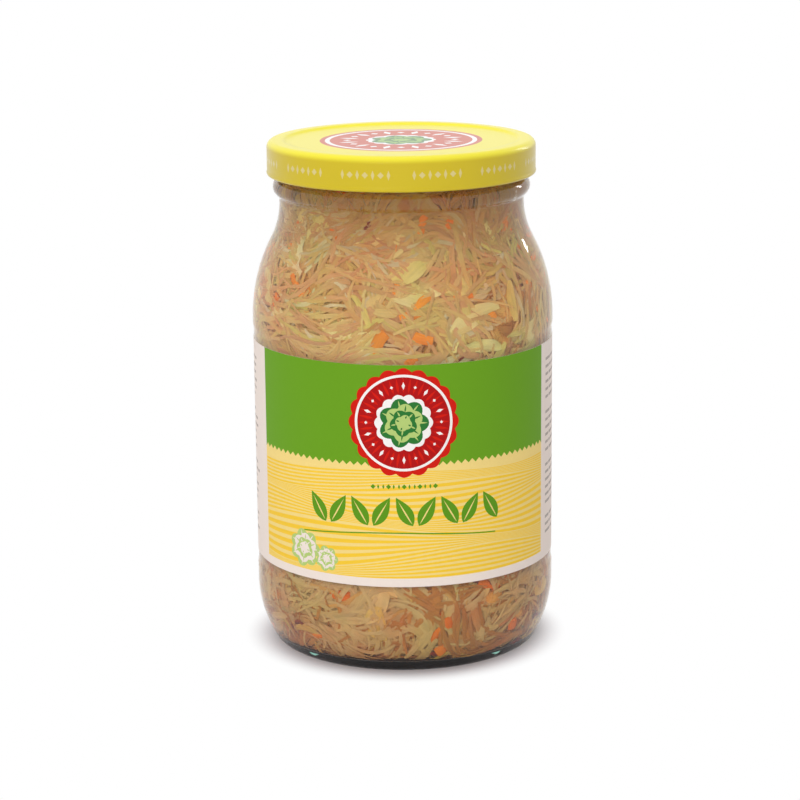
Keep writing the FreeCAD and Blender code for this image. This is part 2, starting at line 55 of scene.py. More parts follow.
jar_low, jar_high = (np.array(corner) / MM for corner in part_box("jar"))
lid_high = np.array(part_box("lid")[1]) / MM
label_low, label_high = (np.array(corner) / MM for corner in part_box("label"))
print("jar", jar_low.round(2), jar_high.round(2), "cap top", round(lid_high[2], 2))

# %% [markdown]
# A material is a small tree of nodes. Colours are written as they look on a screen, in hex, and
# turned to the linear values that a renderer adds up. A tree could be built by adding nodes and
# then links, line by line, but that hides which node feeds which. One function adds a node with
# its settings and its links in one call, so that a material reads downwards like a recipe.


# %% Colours and nodes
def linear(code, alpha=1.0):
    """An sRGB hex code as linear RGBA: c/12.92 when dark, ((c+0.055)/1.055)^2.4 above."""
    channels = [int(code[i:i + 2], 16) / 255 for i in (0, 2, 4)]
    return tuple(c / 12.92 if c <= 0.04045 else ((c + 0.055) / 1.055) ** 2.4
                 for c in channels) + (alpha,)


def node(tree, kind, links=None, **settings):
    """Add a node: settings are its properties, links gives its inputs values or sources."""
    made = tree.nodes.new(kind)
    for name, value in settings.items():
        setattr(made, name, value)
    for name, source in (links or {}).items():
        if isinstance(source, bpy.types.Node):
            source = source.outputs[0]
        if isinstance(source, bpy.types.NodeSocket):
            tree.links.new(source, made.inputs[name])
        else:
            made.inputs[name].default_value = source
    return made


def new_material(name):
    """A material with an empty node tree."""
    material = bpy.data.materials.new(name)
    material.use_nodes = True
    material.node_tree.nodes.clear()
    return material, material.node_tree


def object_place(tree):
    """Where a point is on the object, in metres; a pattern of n mm has the scale 1000/n."""
    return node(tree, "ShaderNodeTexCoord").outputs["Object"]


# %% [markdown]
# A mesh is an array of points and arrays of faces. It could be made by spinning a curve with a
# modifier, but whole arrays are quick and every point has a formula. A round piece is a profile
# of radius and height, carried round the axis; a profile that ends on the axis gets one vertex
# there, so that the pole is closed. The signed volume of a closed mesh tells which way it faces,
# and the mesh is turned if its faces point inwards.


# %% Mesh tools
def new_piece(name, points, blocks, material, crease=None):
    """A closed mesh from points in mm and face arrays; sum of a.(b x c) under 0 turns it over."""
    fans = np.concatenate([np.stack([block[:, 0], block[:, i], block[:, i + 1]], 1)
                           for block in blocks for i in range(1, block.shape[1] - 1)])
    a, b, c = (points[fans[:, i]] for i in range(3))
    if np.einsum("ij,ij->i", a, np.cross(b, c)).sum() < 0:
        blocks = [block[:, ::-1] for block in blocks]
    corners = np.concatenate([block.ravel() for block in blocks])
    counts = np.concatenate([np.full(len(block), block.shape[1]) for block in blocks])
    mesh = bpy.data.meshes.new(name)
    mesh.vertices.add(len(points))
    mesh.vertices.foreach_set("co", (points * MM).astype(np.float32).ravel())
    mesh.loops.add(len(corners))
    mesh.loops.foreach_set("vertex_index", corners.astype(np.int32))
    mesh.polygons.add(len(counts))
    starts = np.concatenate([[0], np.cumsum(counts)[:-1]])
    mesh.polygons.foreach_set("loop_start", starts.astype(np.int32))
    mesh.polygons.foreach_set("use_smooth", np.ones(len(counts), bool))
    mesh.update(calc_edges=True)
    if crease:
        mesh.set_sharp_from_angle(angle=math.radians(crease))
    mesh.materials.append(material)
    piece = bpy.data.objects.new(name, mesh)
    scene.collection.objects.link(piece)
    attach(piece, "root")
    print(f"{name}: {len(points)} points, {int((counts - 2).sum())} triangles")
    return piece


def store(piece, name, kind, domain, values):
    """Write one value per point or per face corner, for the material to read."""
    layer = piece.data.attributes.new(name, kind, domain)
    field = {"FLOAT": "value", "FLOAT_COLOR": "color", "FLOAT_VECTOR": "vector"}[kind]
    layer.data.foreach_set(field, np.asarray(values, np.float32).ravel())


def grid_faces(rows, columns, wrap_columns=True):
    """Quads between neighbouring rows and columns of a grid numbered row by row."""
    i = np.arange(rows - 1)
    j = np.arange(columns if wrap_columns else columns - 1)
    i, j = np.meshgrid(i, j, indexing="ij")
    right = (j + 1) % columns
    quads = np.stack([i * columns + j, i * columns + right, (i + 1) * columns + right,
                      (i + 1) * columns + j], -1)
    return quads.reshape(-1, 4)


def turn_profile(profile, angles):
    """Points of a profile (radius, height) at each angle, as rows x angles x 3."""
    radius, height = profile[:, 0, None], profile[:, 1, None]
    return np.stack([radius * np.cos(angles), radius * np.sin(angles),
                     height + 0 * angles], -1)


def close_poles(rings, first, last):
    """Faces and points of stacked rings, closed by one point on the axis at each end."""
    rows, columns = rings.shape[:2]
    points = np.concatenate([rings.reshape(-1, 3), [[0, 0, first], [0, 0, last]]])
    j = np.arange(columns)
    after = (j + 1) % columns
    foot, head, top_row = rows * columns, rows * columns + 1, (rows - 1) * columns
    low = np.stack([np.full(columns, foot), after, j], 1)
    high = np.stack([np.full(columns, head), top_row + j, top_row + after], 1)
    return points, [grid_faces(rows, columns), low, high]


def arc(centre, radius, start, end, step=0.6):
    """Points on a circle from one angle to another, in degrees, about step mm apart."""
    count = max(int(abs(math.radians(end - start)) * radius / step), 4) + 1
    angles = np.radians(np.linspace(start, end, count))
    return np.stack([centre[0] + radius * np.cos(angles), centre[1] + radius * np.sin(angles)], 1)


def line(start, end, step=1.5):
    """Points on a straight stretch, about step mm apart."""
    count = max(int(math.dist(start, end) / step), 1) + 1
    return np.linspace(start, end, count)


def path(*stretches):
    """One profile from stretches, without doubled points."""
    joined = np.concatenate(stretches)
    keep = np.concatenate([[True], np.linalg.norm(np.diff(joined, axis=0), axis=1) > 1e-4])
    return joined[keep]


def smooth_step(x, low, high):
    """0 below low, 1 above high, and 3t^2 - 2t^3 between."""
    t = np.clip((x - low) / (high - low), 0, 1)
    return t * t * (3 - 2 * t)


# %% [markdown]
# The camera stands where the eye is when a jar on a table is looked at from a short way above:
# a long lens at nearly 0.8 m, so that the sides stay almost upright. It leans over by a little
# more than half a degree. It could aim itself at a target, but a lean is plainer to write as
# three angles: pitch, yaw and roll.

# %% Camera
CAMERA_BACK, CAMERA_UP = 791.5, 269.7
PITCH, YAW, ROLL = 0.2386, -0.0014, -0.0097
LENS, SENSOR = 114.0525, 36.0


def make_camera():
    """A camera built from its forward, right and up directions, turned by the roll."""
    forward = Vector((math.sin(YAW) * math.cos(PITCH), math.cos(YAW) * math.cos(PITCH),
                      -math.sin(PITCH)))
    right = Vector((math.cos(YAW), -math.sin(YAW), 0))
    up = right.cross(forward)
    turned_right = math.cos(ROLL) * right + math.sin(ROLL) * up
    turned_up = -math.sin(ROLL) * right + math.cos(ROLL) * up
    data = bpy.data.cameras.new("camera")
    data.sensor_width = SENSOR
    data.lens = LENS
    camera = bpy.data.objects.new("camera", data)
    axes = Matrix((turned_right, turned_up, -forward)).transposed()
    place = Vector((0, -CAMERA_BACK, CAMERA_UP)) * MM
    camera.matrix_world = Matrix.Translation(place) @ axes.to_4x4()
    scene.collection.objects.link(camera)
    scene.camera = camera
    print("lens", round(data.lens, 1), "mm")


make_camera()

# %% [markdown]
# The set is a white table under soft light. A glass object shows its surroundings more than its
# own colour, so the world is white to the camera and to rays that glass bends or mirrors, and
# dimmer as a lamp. A brighter lamp would whiten the table too, but it would bleach the jar. The
# floor is white paper: near the jar it keeps the soft contact shadow, and further off it is seen
# at white. The large boxes light the jar without being mirrored, and one thin strip is mirrored,
# as the bright edge that shows that glass is glossy.

# %% World, floor and lamps
scene.view_settings.view_transform = "Standard"
WORLD_LIGHT, SEEN_WHITE = 0.46, 1.0
GLOW_NEAR, GLOW_FAR = 40.5, 53.0
TABLE_HALF, AIM_UP = 4.0, 0.08


def seen_directly(tree):
    """1 for camera rays and for rays that glass or metal sends on, 0 for light on things."""
    rays = node(tree, "ShaderNodeLightPath").outputs
    bent = node(tree, "ShaderNodeMath", {0: rays["Is Glossy Ray"],
                                         1: rays["Is Transmission Ray"]}, operation="MAXIMUM")
    return node(tree, "ShaderNodeMath", {0: rays["Is Camera Ray"], 1: bent}, operation="MAXIMUM")


def make_world():
    """A white world that lights at a lower level than it is seen at."""
    world = bpy.data.worlds.new("white_room")
    scene.world = world
    world.use_nodes = True
    tree = world.node_tree
    tree.nodes.clear()
    level = node(tree, "ShaderNodeMapRange",
                 {"Value": seen_directly(tree), "To Min": WORLD_LIGHT, "To Max": SEEN_WHITE})
    background = node(tree, "ShaderNodeBackground", {"Color": (1, 1, 1, 1), "Strength": level})
    node(tree, "ShaderNodeOutputWorld", {"Surface": background})


def make_floor():
    """White paper under the jar: plain diffuse near it, and seen as white further off."""
    material, tree = new_material("white_paper_floor")
    distance = node(tree, "ShaderNodeVectorMath", {0: object_place(tree)}, operation="LENGTH")
    glow = node(tree, "ShaderNodeMapRange", {
        "Value": distance.outputs["Value"], "From Min": GLOW_NEAR * MM, "From Max": GLOW_FAR * MM,
        "To Min": 0.0, "To Max": 1.0}, interpolation_type="SMOOTHSTEP")
    paper = node(tree, "ShaderNodeBsdfDiffuse", {"Color": linear("E6E0E6")})
    light = node(tree, "ShaderNodeEmission", {"Color": (1, 1, 1, 1), "Strength": SEEN_WHITE})
    seen = node(tree, "ShaderNodeMixShader", {0: glow, 1: paper, 2: light})
    mix = node(tree, "ShaderNodeMixShader", {0: seen_directly(tree), 1: paper, 2: seen})
    node(tree, "ShaderNodeOutputMaterial", {"Surface": mix})
    mesh = bpy.data.meshes.new("floor")
    corners = [(x * TABLE_HALF, y * TABLE_HALF, 0) for x, y in ((-1, -1), (1, -1), (1, 1), (-1, 1))]
    mesh.from_pydata(corners, [], [(0, 1, 2, 3)])
    mesh.materials.append(material)
    floor = bpy.data.objects.new("floor", mesh)
    scene.collection.objects.link(floor)


def add_lamp(name, place, width, height, watts, mirrored=False):
    """A soft box at a place, in metres, that faces the middle of the jar."""
    data = bpy.data.lights.new(name, "AREA")
    data.shape = "RECTANGLE"
    data.size, data.size_y = width, height
    data.energy = watts
    lamp = bpy.data.objects.new(name, data)
    direction = Vector((0, 0, AIM_UP)) - Vector(place)
    turn = direction.to_track_quat("-Z", "Y").to_matrix().to_4x4()
    lamp.matrix_world = Matrix.Translation(place) @ turn
    lamp.visible_glossy = mirrored
    lamp.visible_transmission = mirrored
    scene.collection.objects.link(lamp)


make_world()
make_floor()
add_lamp("overhead_box", (0.0, 0.25, 1.20), 0.9, 0.8, 5.5)
add_lamp("front_box", (-0.35, -1.35, 0.55), 0.8, 0.6, 8.8)
add_lamp("left_strip", (-0.70, 0.30, 0.40), 0.06, 0.50, 0.6)
add_lamp("right_strip", (0.60, 0.55, 0.40), 0.05, 0.30, 0.6, True)

# %% [markdown]
# A jar is blown in a mould, so it is round: one outline turned round the axis, up the outside
# from the domed bottom past the heel, the label panel, the shoulder and the bead, over the rim,
# and down the inside. A shell made by thickening one skin would also do, but glass is thicker at
# the bottom, so each skin has its own arcs. Side and shoulder arcs of both share their centres,
# which keeps the wall even there. Sizes are in millimetres, and the widths come from the frame.

# %% Sizes of the glass, from the frame
BODY = (jar_high[0] - jar_low[0]) / 2
RIM_TOP = jar_high[2]
WALL, FLOOR_WALL = 2.45, 3.3
HEEL_CORNER, HEEL_SWEEP, HEEL_RISE = 3.7, 37.1, 20.0
INNER_CORNER, PUSH_UP, BEARING = 5.0, 3.6, 3.3
SIDE_RISE, SHOULDER_RISE, SHOULDER_SHARE = 85.5, 37.0, 0.684
NECK = 38.55
BEAD_RISE, BEAD_REACH, BEAD_ROUND, BEAD_BLEND = 4.7, 1.95, 3.0, 1.5
FINISH_STEP, RIM_ROUND = 0.35, 0.9
RECESS, RECESS_EDGE, RECESS_MARGIN = 0.25, 1.5, 4.5
SHOULDER_LEVEL = HEEL_RISE + SIDE_RISE
NECK_LEVEL = SHOULDER_LEVEL + SHOULDER_RISE
BEAD_LEVEL = NECK_LEVEL + BEAD_RISE
BORE, FINISH = NECK - WALL, NECK + FINISH_STEP
SHOULDER_SUM = (SHOULDER_RISE ** 2 + (BODY - NECK) ** 2) / (2 * (BODY - NECK))
SHOULDER_SWEEP = SHOULDER_SHARE * SHOULDER_SUM
FOOT = BODY - HEEL_SWEEP + math.sqrt((HEEL_SWEEP - HEEL_CORNER) ** 2
                                     - (HEEL_RISE - HEEL_CORNER) ** 2)
DOME_EDGE = FOOT - BEARING
DOME_CENTRE = PUSH_UP - (DOME_EDGE ** 2 + PUSH_UP ** 2) / (2 * PUSH_UP)
print("foot radius", round(FOOT, 2), "shoulder sweep", round(SHOULDER_SWEEP, 2))


def angle_to(centre, point):
    """Direction from a centre to a point, in degrees."""
    return math.degrees(math.atan2(point[1] - centre[1], point[0] - centre[0]))


def crossing(centre_a, radius_a, centre_b, radius_b):
    """The crossing of two circles that lies to the right of the way from a to b."""
    span = math.dist(centre_a, centre_b)
    along = (radius_a ** 2 - radius_b ** 2 + span ** 2) / (2 * span)
    aside = math.sqrt(radius_a ** 2 - along ** 2)
    ux, uy = ((b - a) / span for a, b in zip(centre_a, centre_b))
    return (centre_a[0] + along * ux + aside * uy, centre_a[1] + along * uy - aside * ux)


# %% [markdown]
# Side and shoulder are a straight stretch and two arcs that meet flush. The label lies in a
# shallow recess, a quarter of a millimetre deep, which keeps jars from rubbing their labels.


# %% Outline of the glass
def shoulder_path(inset, step):
    """Side, shoulder and neck at a depth in the wall: two arcs that meet flush."""
    side, sweep = BODY - inset, SHOULDER_SWEEP - inset
    neck_sweep = SHOULDER_SUM - SHOULDER_SWEEP + inset
    low, high = (side - sweep, SHOULDER_LEVEL), (NECK - inset + neck_sweep, NECK_LEVEL)
    turn = angle_to(low, high)
    return path(line((side, HEEL_RISE), (side, SHOULDER_LEVEL), step),
                arc(low, sweep, 0, turn, 1.0), arc(high, neck_sweep, 180 + turn, 180, 0.8))


def inner_path(inset=WALL):
    """The inside of the glass from the bottom to the neck, at a depth in the wall."""
    floor_radius = PUSH_UP + FLOOR_WALL - (WALL - inset) - DOME_CENTRE
    corner, centre = INNER_CORNER + (WALL - inset), (0, DOME_CENTRE)
    heel, sweep = (BODY - HEEL_SWEEP, HEEL_RISE), HEEL_SWEEP - inset
    middle = crossing(centre, floor_radius + corner, heel, sweep - corner)
    floor_turn, heel_turn = angle_to(centre, middle), angle_to(heel, middle)
    return path(arc(centre, floor_radius, 89.6, floor_turn, 1.5),
                arc(middle, corner, floor_turn - 180, heel_turn, 0.4),
                arc(heel, sweep, heel_turn, 0), shoulder_path(inset, 3.0))


def outer_path():
    """The outside of the glass from the middle of the bottom up to the neck."""
    heel = (BODY - HEEL_SWEEP, HEEL_RISE)
    turn = angle_to(heel, (FOOT, HEEL_CORNER))
    dome_end = angle_to((0, DOME_CENTRE), (DOME_EDGE, 0))
    side = path(arc((0, DOME_CENTRE), PUSH_UP - DOME_CENTRE, 89.6, dome_end, 1.5),
                line((DOME_EDGE, 0), (FOOT, 0), 0.6),
                arc((FOOT, HEEL_CORNER), HEEL_CORNER, -90, turn, 0.3),
                arc(heel, HEEL_SWEEP, turn, 0), shoulder_path(0, 0.75))
    low, high = label_low[2] - RECESS_MARGIN, SHOULDER_LEVEL - RECESS_EDGE
    panel = (smooth_step(side[:, 1], low, low + RECESS_EDGE)
             - smooth_step(side[:, 1], high - RECESS_EDGE, high))
    side[:, 0] -= RECESS * panel
    return side


def finish_path():
    """The bead under the cap with its hollow blends, the finish wall, and the rounded rim."""
    bead, reach = (NECK + BEAD_REACH - BEAD_ROUND, BEAD_LEVEL), BEAD_ROUND + BEAD_BLEND
    below = (NECK + BEAD_BLEND,
             BEAD_LEVEL - math.sqrt(reach ** 2 - (NECK + BEAD_BLEND - bead[0]) ** 2))
    above = (FINISH + BEAD_BLEND,
             BEAD_LEVEL + math.sqrt(reach ** 2 - (FINISH + BEAD_BLEND - bead[0]) ** 2))
    low, high = angle_to(bead, below), angle_to(bead, above)
    top = RIM_TOP - RIM_ROUND
    return path(arc(below, BEAD_BLEND, 180, 180 + low, 0.25),
                arc(bead, BEAD_ROUND, low, high, 0.3),
                arc(above, BEAD_BLEND, 180 + high, 180, 0.25),
                line((FINISH, above[1]), (FINISH, top), 0.25),
                arc((FINISH - RIM_ROUND, top), RIM_ROUND, 0, 90, 0.2),
                arc((BORE + RIM_ROUND, top), RIM_ROUND, 90, 180, 0.2))


# %% [markdown]
# The finish carries six slanted ridges, which the cap's lugs slide under. They could be six
# bars joined to the glass, but a hidden surface inside would catch the light. So each point of the
# finish wall moves out by the ridge's height there, and glass and ridge stay one skin. The rings
# have a high count, because a facet that nobody sees on paper shows in bent light.

# %% Slanted ridges
RIDGES, RIDGE_SPAN, RIDGE_REACH, RIDGE_HALF = 6, 42.0, 1.35, 0.95
RIDGE_FOOT, RIDGE_CLIMB = 152.47, 2.2
AROUND = np.linspace(0, 2 * math.pi, 216, endpoint=False)


def push_ridges(rings):
    """Radial push: the ridge's reach, rounded across, faded at both ends of its span."""
    radius, height = np.hypot(rings[..., 0], rings[..., 1]), rings[..., 2]
    turn = (np.degrees(AROUND) % (360 / RIDGES)) / RIDGE_SPAN
    middle = RIDGE_FOOT + RIDGE_HALF + RIDGE_CLIMB * np.clip(turn, 0, 1)
    across = smooth_step(1 - np.abs(height - middle) / RIDGE_HALF, 0.0, 0.55)
    along = smooth_step(turn, 0.0, 0.06) * (1 - smooth_step(turn, 0.94, 1.0))
    wall = (radius > FINISH - 0.2) & (height > BEAD_LEVEL + 3) & (height < RIM_TOP - RIM_ROUND)
    rings[..., :2] *= (1 + RIDGE_REACH * across * along * wall / np.maximum(radius, 1))[..., None]
    return rings


# %% [markdown]
# Flint glass is colourless, and faintly green only where it is looked through edge on, as at the
# heel. It is blown in a mould, so its skin is smooth with a slow wave, two fine mould seams, and
# a stippled ring that it stands on. Lamps would need caustics to reach the food through it, so it
# is made clear to shadow rays and to light that the food scatters, and stays glass to the eye.
# Its inside is wet: water against glass mirrors almost nothing, so the wetted wall only bends
# light. With a mirror on each of the inner skins the food would lie behind a white veil.
# An attribute tells the wetted points from the dry ones, so the jar is still one closed mesh.


# %% Flint glass
def clear_to_lamps(tree, shader):
    """A shader for the eye that is clear to shadow rays and to scattered light."""
    rays = node(tree, "ShaderNodeLightPath").outputs
    clear = node(tree, "ShaderNodeBsdfTransparent")
    scattered = node(tree, "ShaderNodeMixShader", {0: rays["Is Diffuse Ray"], 1: shader, 2: clear})
    return node(tree, "ShaderNodeMixShader", {0: rays["Is Shadow Ray"], 1: scattered, 2: clear})


GLASS_IOR, BRINE_IOR = 1.47, 1.34


def flint_glass():
    """Moulded flint glass, a soda-lime: blown in an iron mould, IOR 1.47 to 1.52, slow wave."""
    material, tree = new_material("moulded_flint_glass")
    place = object_place(tree)
    wave = node(tree, "ShaderNodeTexNoise", {"Vector": place, "Scale": 1000 / 22, "Detail": 1.0})
    parts = node(tree, "ShaderNodeSeparateXYZ", {0: place}).outputs
    off_seam = node(tree, "ShaderNodeMath", {0: parts["Y"]}, operation="ABSOLUTE")
    seam = node(tree, "ShaderNodeMapRange", {
        "Value": off_seam, "From Min": 0.0, "From Max": 0.4 * MM, "To Min": 0.12, "To Max": 0.0})
    stipple = node(tree, "ShaderNodeTexVoronoi", {"Vector": place, "Scale": 1000 / 1.6})
    foot = node(tree, "ShaderNodeMapRange", {
        "Value": parts["Z"], "From Min": 0.2 * MM, "From Max": 0.8 * MM,
        "To Min": 0.5, "To Max": 0.0})
    knurl = node(tree, "ShaderNodeMath", {0: stipple.outputs["Distance"], 1: foot},
                 operation="MULTIPLY")
    skin = node(tree, "ShaderNodeMath", {0: seam, 1: knurl}, operation="ADD")
    height = node(tree, "ShaderNodeMath", {0: wave, 1: skin}, operation="ADD")
    normal = node(tree, "ShaderNodeBump", {"Height": height, "Distance": 0.35 * MM,
                                           "Strength": 0.5})
    glass = node(tree, "ShaderNodeBsdfPrincipled", {
        "Base Color": linear("FAFDFB"), "Roughness": 0.0, "IOR": GLASS_IOR,
        "Transmission Weight": 1.0, "Normal": normal})
    bend = node(tree, "ShaderNodeBsdfRefraction", {
        "Color": (1, 1, 1, 1), "IOR": GLASS_IOR, "Roughness": 0.0})
    wet = node(tree, "ShaderNodeAttribute", attribute_name="wet").outputs["Fac"]
    both = node(tree, "ShaderNodeMixShader", {0: wet, 1: glass, 2: bend})
    depth = node(tree, "ShaderNodeVolumeAbsorption",
                 {"Color": linear("40C8B4"), "Density": 18.0})
    node(tree, "ShaderNodeOutputMaterial",
         {"Surface": clear_to_lamps(tree, both), "Volume": depth})
    return material


# %% Glass piece
def make_glass():
    """The whole outline turned round the axis, with the ridges pushed out of it."""
    dry = path(outer_path(), finish_path())
    profile = path(dry, inner_path()[::-1])
    rings = push_ridges(turn_profile(profile, AROUND))
    points, blocks = close_poles(rings, PUSH_UP, PUSH_UP + FLOOR_WALL)
    body = new_piece("glass_body", points, blocks, flint_glass())
    wet = np.repeat(np.arange(len(profile)) >= len(dry), len(AROUND))
    store(body, "wet", "FLOAT", "POINT", np.append(wet, (False, True)))
    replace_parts(body, "jar")


make_glass()

# %% [markdown]
# The brine fills the glass up to just under the cap. A liquid that stops short of the wall shows
# a film of air, so its mesh reaches a tenth of a millimetre into the glass. Two skins lie close
# together there, so the liquid only bends light and leaves the mirror to the glass. Straw brine
# takes its colour with depth: deeper shreds look yellower and darker, which a colour on the
# surface can't do, so the colour is an absorption in its volume.

# %% Brine
REACH_IN = 0.1
BRINE_LEVEL, CLIMB, CLIMB_WIDE = 157.5, 0.5, 6.0


def straw_brine():
    """Fermented brine: salt water drawn from the cabbage, IOR 1.34, straw-coloured with depth."""
    material, tree = new_material("straw_brine")
    liquid = node(tree, "ShaderNodeBsdfRefraction", {
        "Color": (1, 1, 1, 1), "IOR": BRINE_IOR, "Roughness": 0.0})
    depth = node(tree, "ShaderNodeVolumeAbsorption",
                 {"Color": linear("FEDF84"), "Density": 95.0})
    node(tree, "ShaderNodeOutputMaterial",
         {"Surface": clear_to_lamps(tree, liquid), "Volume": depth})
    return material


def make_brine():
    """The inside of the glass grown by the reach, up to a level that climbs at the wall."""
    bore, grown = BORE + REACH_IN, inner_path(WALL - REACH_IN)
    fall = np.linspace(0, 1, 12)[:, None]
    surface = np.concatenate([bore - CLIMB_WIDE * fall ** 2,
                              BRINE_LEVEL + CLIMB * (1 - fall) ** 3], 1)
    profile = path(grown, line(grown[-1], surface[0], 1.0), surface)
    points, blocks = close_poles(turn_profile(profile, AROUND),
                                 PUSH_UP + FLOOR_WALL - REACH_IN, BRINE_LEVEL)
    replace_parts(new_piece("brine_body", points, blocks, straw_brine()), "brine")


make_brine()

# %% [markdown]
# Sheets of print come next: the label, and the panel and skirt of the cap. Print is often drawn
# as an image, which blurs close up. Here a flat sheet is cut along the edge of every printed
# shape by a constrained triangulation, and each triangle takes the ink of the last shape that
# covers it, so an edge of print stays sharp. The sheet is then bent: its two flat directions
# become the turn round the jar and the height, or the two directions of the lid.


# %% Shapes for print
def oval(centre, wide, high, count=40):
    """An ellipse with half axes wide and high."""
    turn = np.linspace(0, 2 * math.pi, count, endpoint=False)
    return np.stack([centre[0] + wide * np.cos(turn), centre[1] + high * np.sin(turn)], 1)


def scallop(centre, radius, lobes, swell, turned=0.0, count=8):
    """A circle whose radius swells by |cos| in so many lobes, as a cut seal does."""
    turn = np.linspace(0, 2 * math.pi, lobes * count, endpoint=False)
    reach = radius + swell * (np.abs(np.cos(lobes * (turn - turned) / 2)) - 0.5)
    return np.stack([centre[0] + reach * np.cos(turn), centre[1] + reach * np.sin(turn)], 1)


def leaf(foot, tip, wide, count=12):
    """A pointed oval from foot to tip: half width = wide sin(pi t^0.8)."""
    foot, tip = np.array(foot, float), np.array(tip, float)
    t = np.linspace(0, 1, count)[:, None]
    along = tip - foot
    side = np.array([-along[1], along[0]]) / np.hypot(*along)
    half = wide * np.sin(math.pi * t ** 0.8)
    spine = foot + along * t
    return np.concatenate([spine + side * half, (spine - side * half)[-2:0:-1]])


def ribbon(u, low, high):
    """The strip between two curves over the same run."""
    u = np.asarray(u, float)
    return np.concatenate([np.stack([u, low + 0 * u], 1), np.stack([u, high + 0 * u], 1)[::-1]])


def lozenge(centre, wide, high):
    """A diamond with half axes wide and high."""
    return oval(centre, wide, high, 4)


def spin(shape, centre, turn):
    """A shape turned about a centre."""
    offset = shape - centre
    c, s = math.cos(turn), math.sin(turn)
    return centre + offset @ np.array([[c, s], [-s, c]])


def anticlockwise(shape):
    """The shape listed anticlockwise: its signed area, half the sum of x dy - y dx, above 0."""
    after = np.roll(shape, -1, axis=0)
    area = (shape[:, 0] * after[:, 1] - shape[:, 1] * after[:, 0]).sum()
    return shape if area > 0 else shape[::-1]


# %% Cutting a printed sheet
def cut_sheet(outline, shapes, ruled=()):
    """Corners, triangles and ink numbers of a flat sheet cut along its shapes' edges."""
    layers = [(anticlockwise(shape), ink) for shape, ink in [(outline, 0)] + list(shapes)]
    corners = np.concatenate([shape for shape, _ in layers] + list(ruled))
    ends = np.cumsum([0] + [len(shape) for shape, _ in layers])
    faces = [list(range(a, b)) for a, b in zip(ends[:-1], ends[1:])]
    edges = [(ends[-1] + 2 * i, ends[-1] + 2 * i + 1) for i in range(len(ruled))]
    found = delaunay_2d_cdt([Vector(corner) for corner in corners], edges, faces, 0, 1e-5, True)
    flat = np.array([tuple(corner) for corner in found[0]])
    triangles = np.array([tuple(face) for face in found[2]])
    inks = np.array([layers[max(owners)][1] if owners else 0 for owners in found[5]])
    a, b, c = (flat[triangles[:, i]] for i in range(3))
    area = (b[:, 0] - a[:, 0]) * (c[:, 1] - a[:, 1]) - (b[:, 1] - a[:, 1]) * (c[:, 0] - a[:, 0])
    keep = np.abs(area) > 1e-7
    return flat, triangles[keep], inks[keep]


def weld(piece, near=2e-6):
    """Join points that lie on each other, so that patches become one skin."""
    work = bmesh.new()
    work.from_mesh(piece.data)
    bmesh.ops.remove_doubles(work, verts=work.verts, dist=near)
    open_edges = sum(1 for edge in work.edges if not edge.is_manifold)
    work.to_mesh(piece.data)
    work.free()
    print(piece.name, "open edges", open_edges)


# %% [markdown]
# Ink on lacquer or paper is a thin flat film, so one material serves a whole sheet: its colour
# comes from an attribute that holds the ink of each face, and its gloss from what it is printed
# on. The cap is tinplate 0.25 mm thick with a yellow lacquer, baked on and glossy. Below the top,
# on the lower shoulder and the skirt, the colour is multiplied towards a dull olive. This is
# painted shade, because the skirt faces sideways and gets less light than the top.


# %% Printed materials
def store_inks(piece, triangles_first, inks, palette):
    """Give each face corner the colour of its face's ink; faces past the print get ink 0."""
    counts = np.zeros(len(piece.data.polygons), np.int32)
    piece.data.polygons.foreach_get("loop_total", counts)
    numbers = np.zeros(len(counts), int)
    numbers[triangles_first:triangles_first + len(inks)] = inks
    colours = np.array([linear(code) for code in palette])
    store(piece, "ink", "FLOAT_COLOR", "CORNER", np.repeat(colours[numbers], counts, axis=0))


def lacquered_tinplate():
    """Tinplate, rolled steel dipped in tin, under baked yellow lacquer: glossy, fine peel."""
    material, tree = new_material("lacquered_tinplate")
    place = object_place(tree)
    ink = node(tree, "ShaderNodeAttribute", attribute_name="ink").outputs["Color"]
    parts = node(tree, "ShaderNodeSeparateXYZ", {0: place}).outputs
    # deep is a mask of painted shade. It fades in from 0.6 mm to 2.4 mm under the top, and below
    # that the ink is multiplied by a dull olive, because the shoulder and skirt face sideways and
    # get less light than the top.
    deep = node(tree, "ShaderNodeMapRange", {
        "Value": parts["Z"], "From Min": (lid_high[2] - 2.4) * MM,
        "From Max": (lid_high[2] - 0.6) * MM, "To Min": 1.0, "To Max": 0.0},
        interpolation_type="SMOOTHSTEP")
    ink_with_painted_shade = node(tree, "ShaderNodeMix", {0: deep, 6: ink, 7: linear("DCCF90")},
                 data_type="RGBA", blend_type="MULTIPLY").outputs[2]
    orange_peel = node(tree, "ShaderNodeTexNoise",
                       {"Vector": place, "Scale": 1000 / 2.5, "Detail": 2.0})
    normal = node(tree, "ShaderNodeBump", {"Height": orange_peel, "Distance": 0.02 * MM,
                                           "Strength": 0.35})
    lacquer = node(tree, "ShaderNodeBsdfPrincipled", {
        "Base Color": ink_with_painted_shade, "Roughness": 0.28, "IOR": 1.5, "Normal": normal,
        "Specular IOR Level": 0.35, "Coat Weight": 0.1, "Coat Roughness": 0.12})
    node(tree, "ShaderNodeOutputMaterial", {"Surface": lacquer})
    return material


# %% [markdown]
# The cap is drawn from one disc of tinplate: a flat panel, a raised rim ring over the jar's rim,
# a rounded shoulder, a straight skirt, and an edge rolled inwards. On the real cap the roll is
# squeezed flat at six places to make the lugs; they are out of sight, so it is left whole here.
# The whole cap could be turned at once, but its panel and its skirt carry print. So those two
# stretches are cut sheets, the rest is turned, and the edges are welded into one skin.

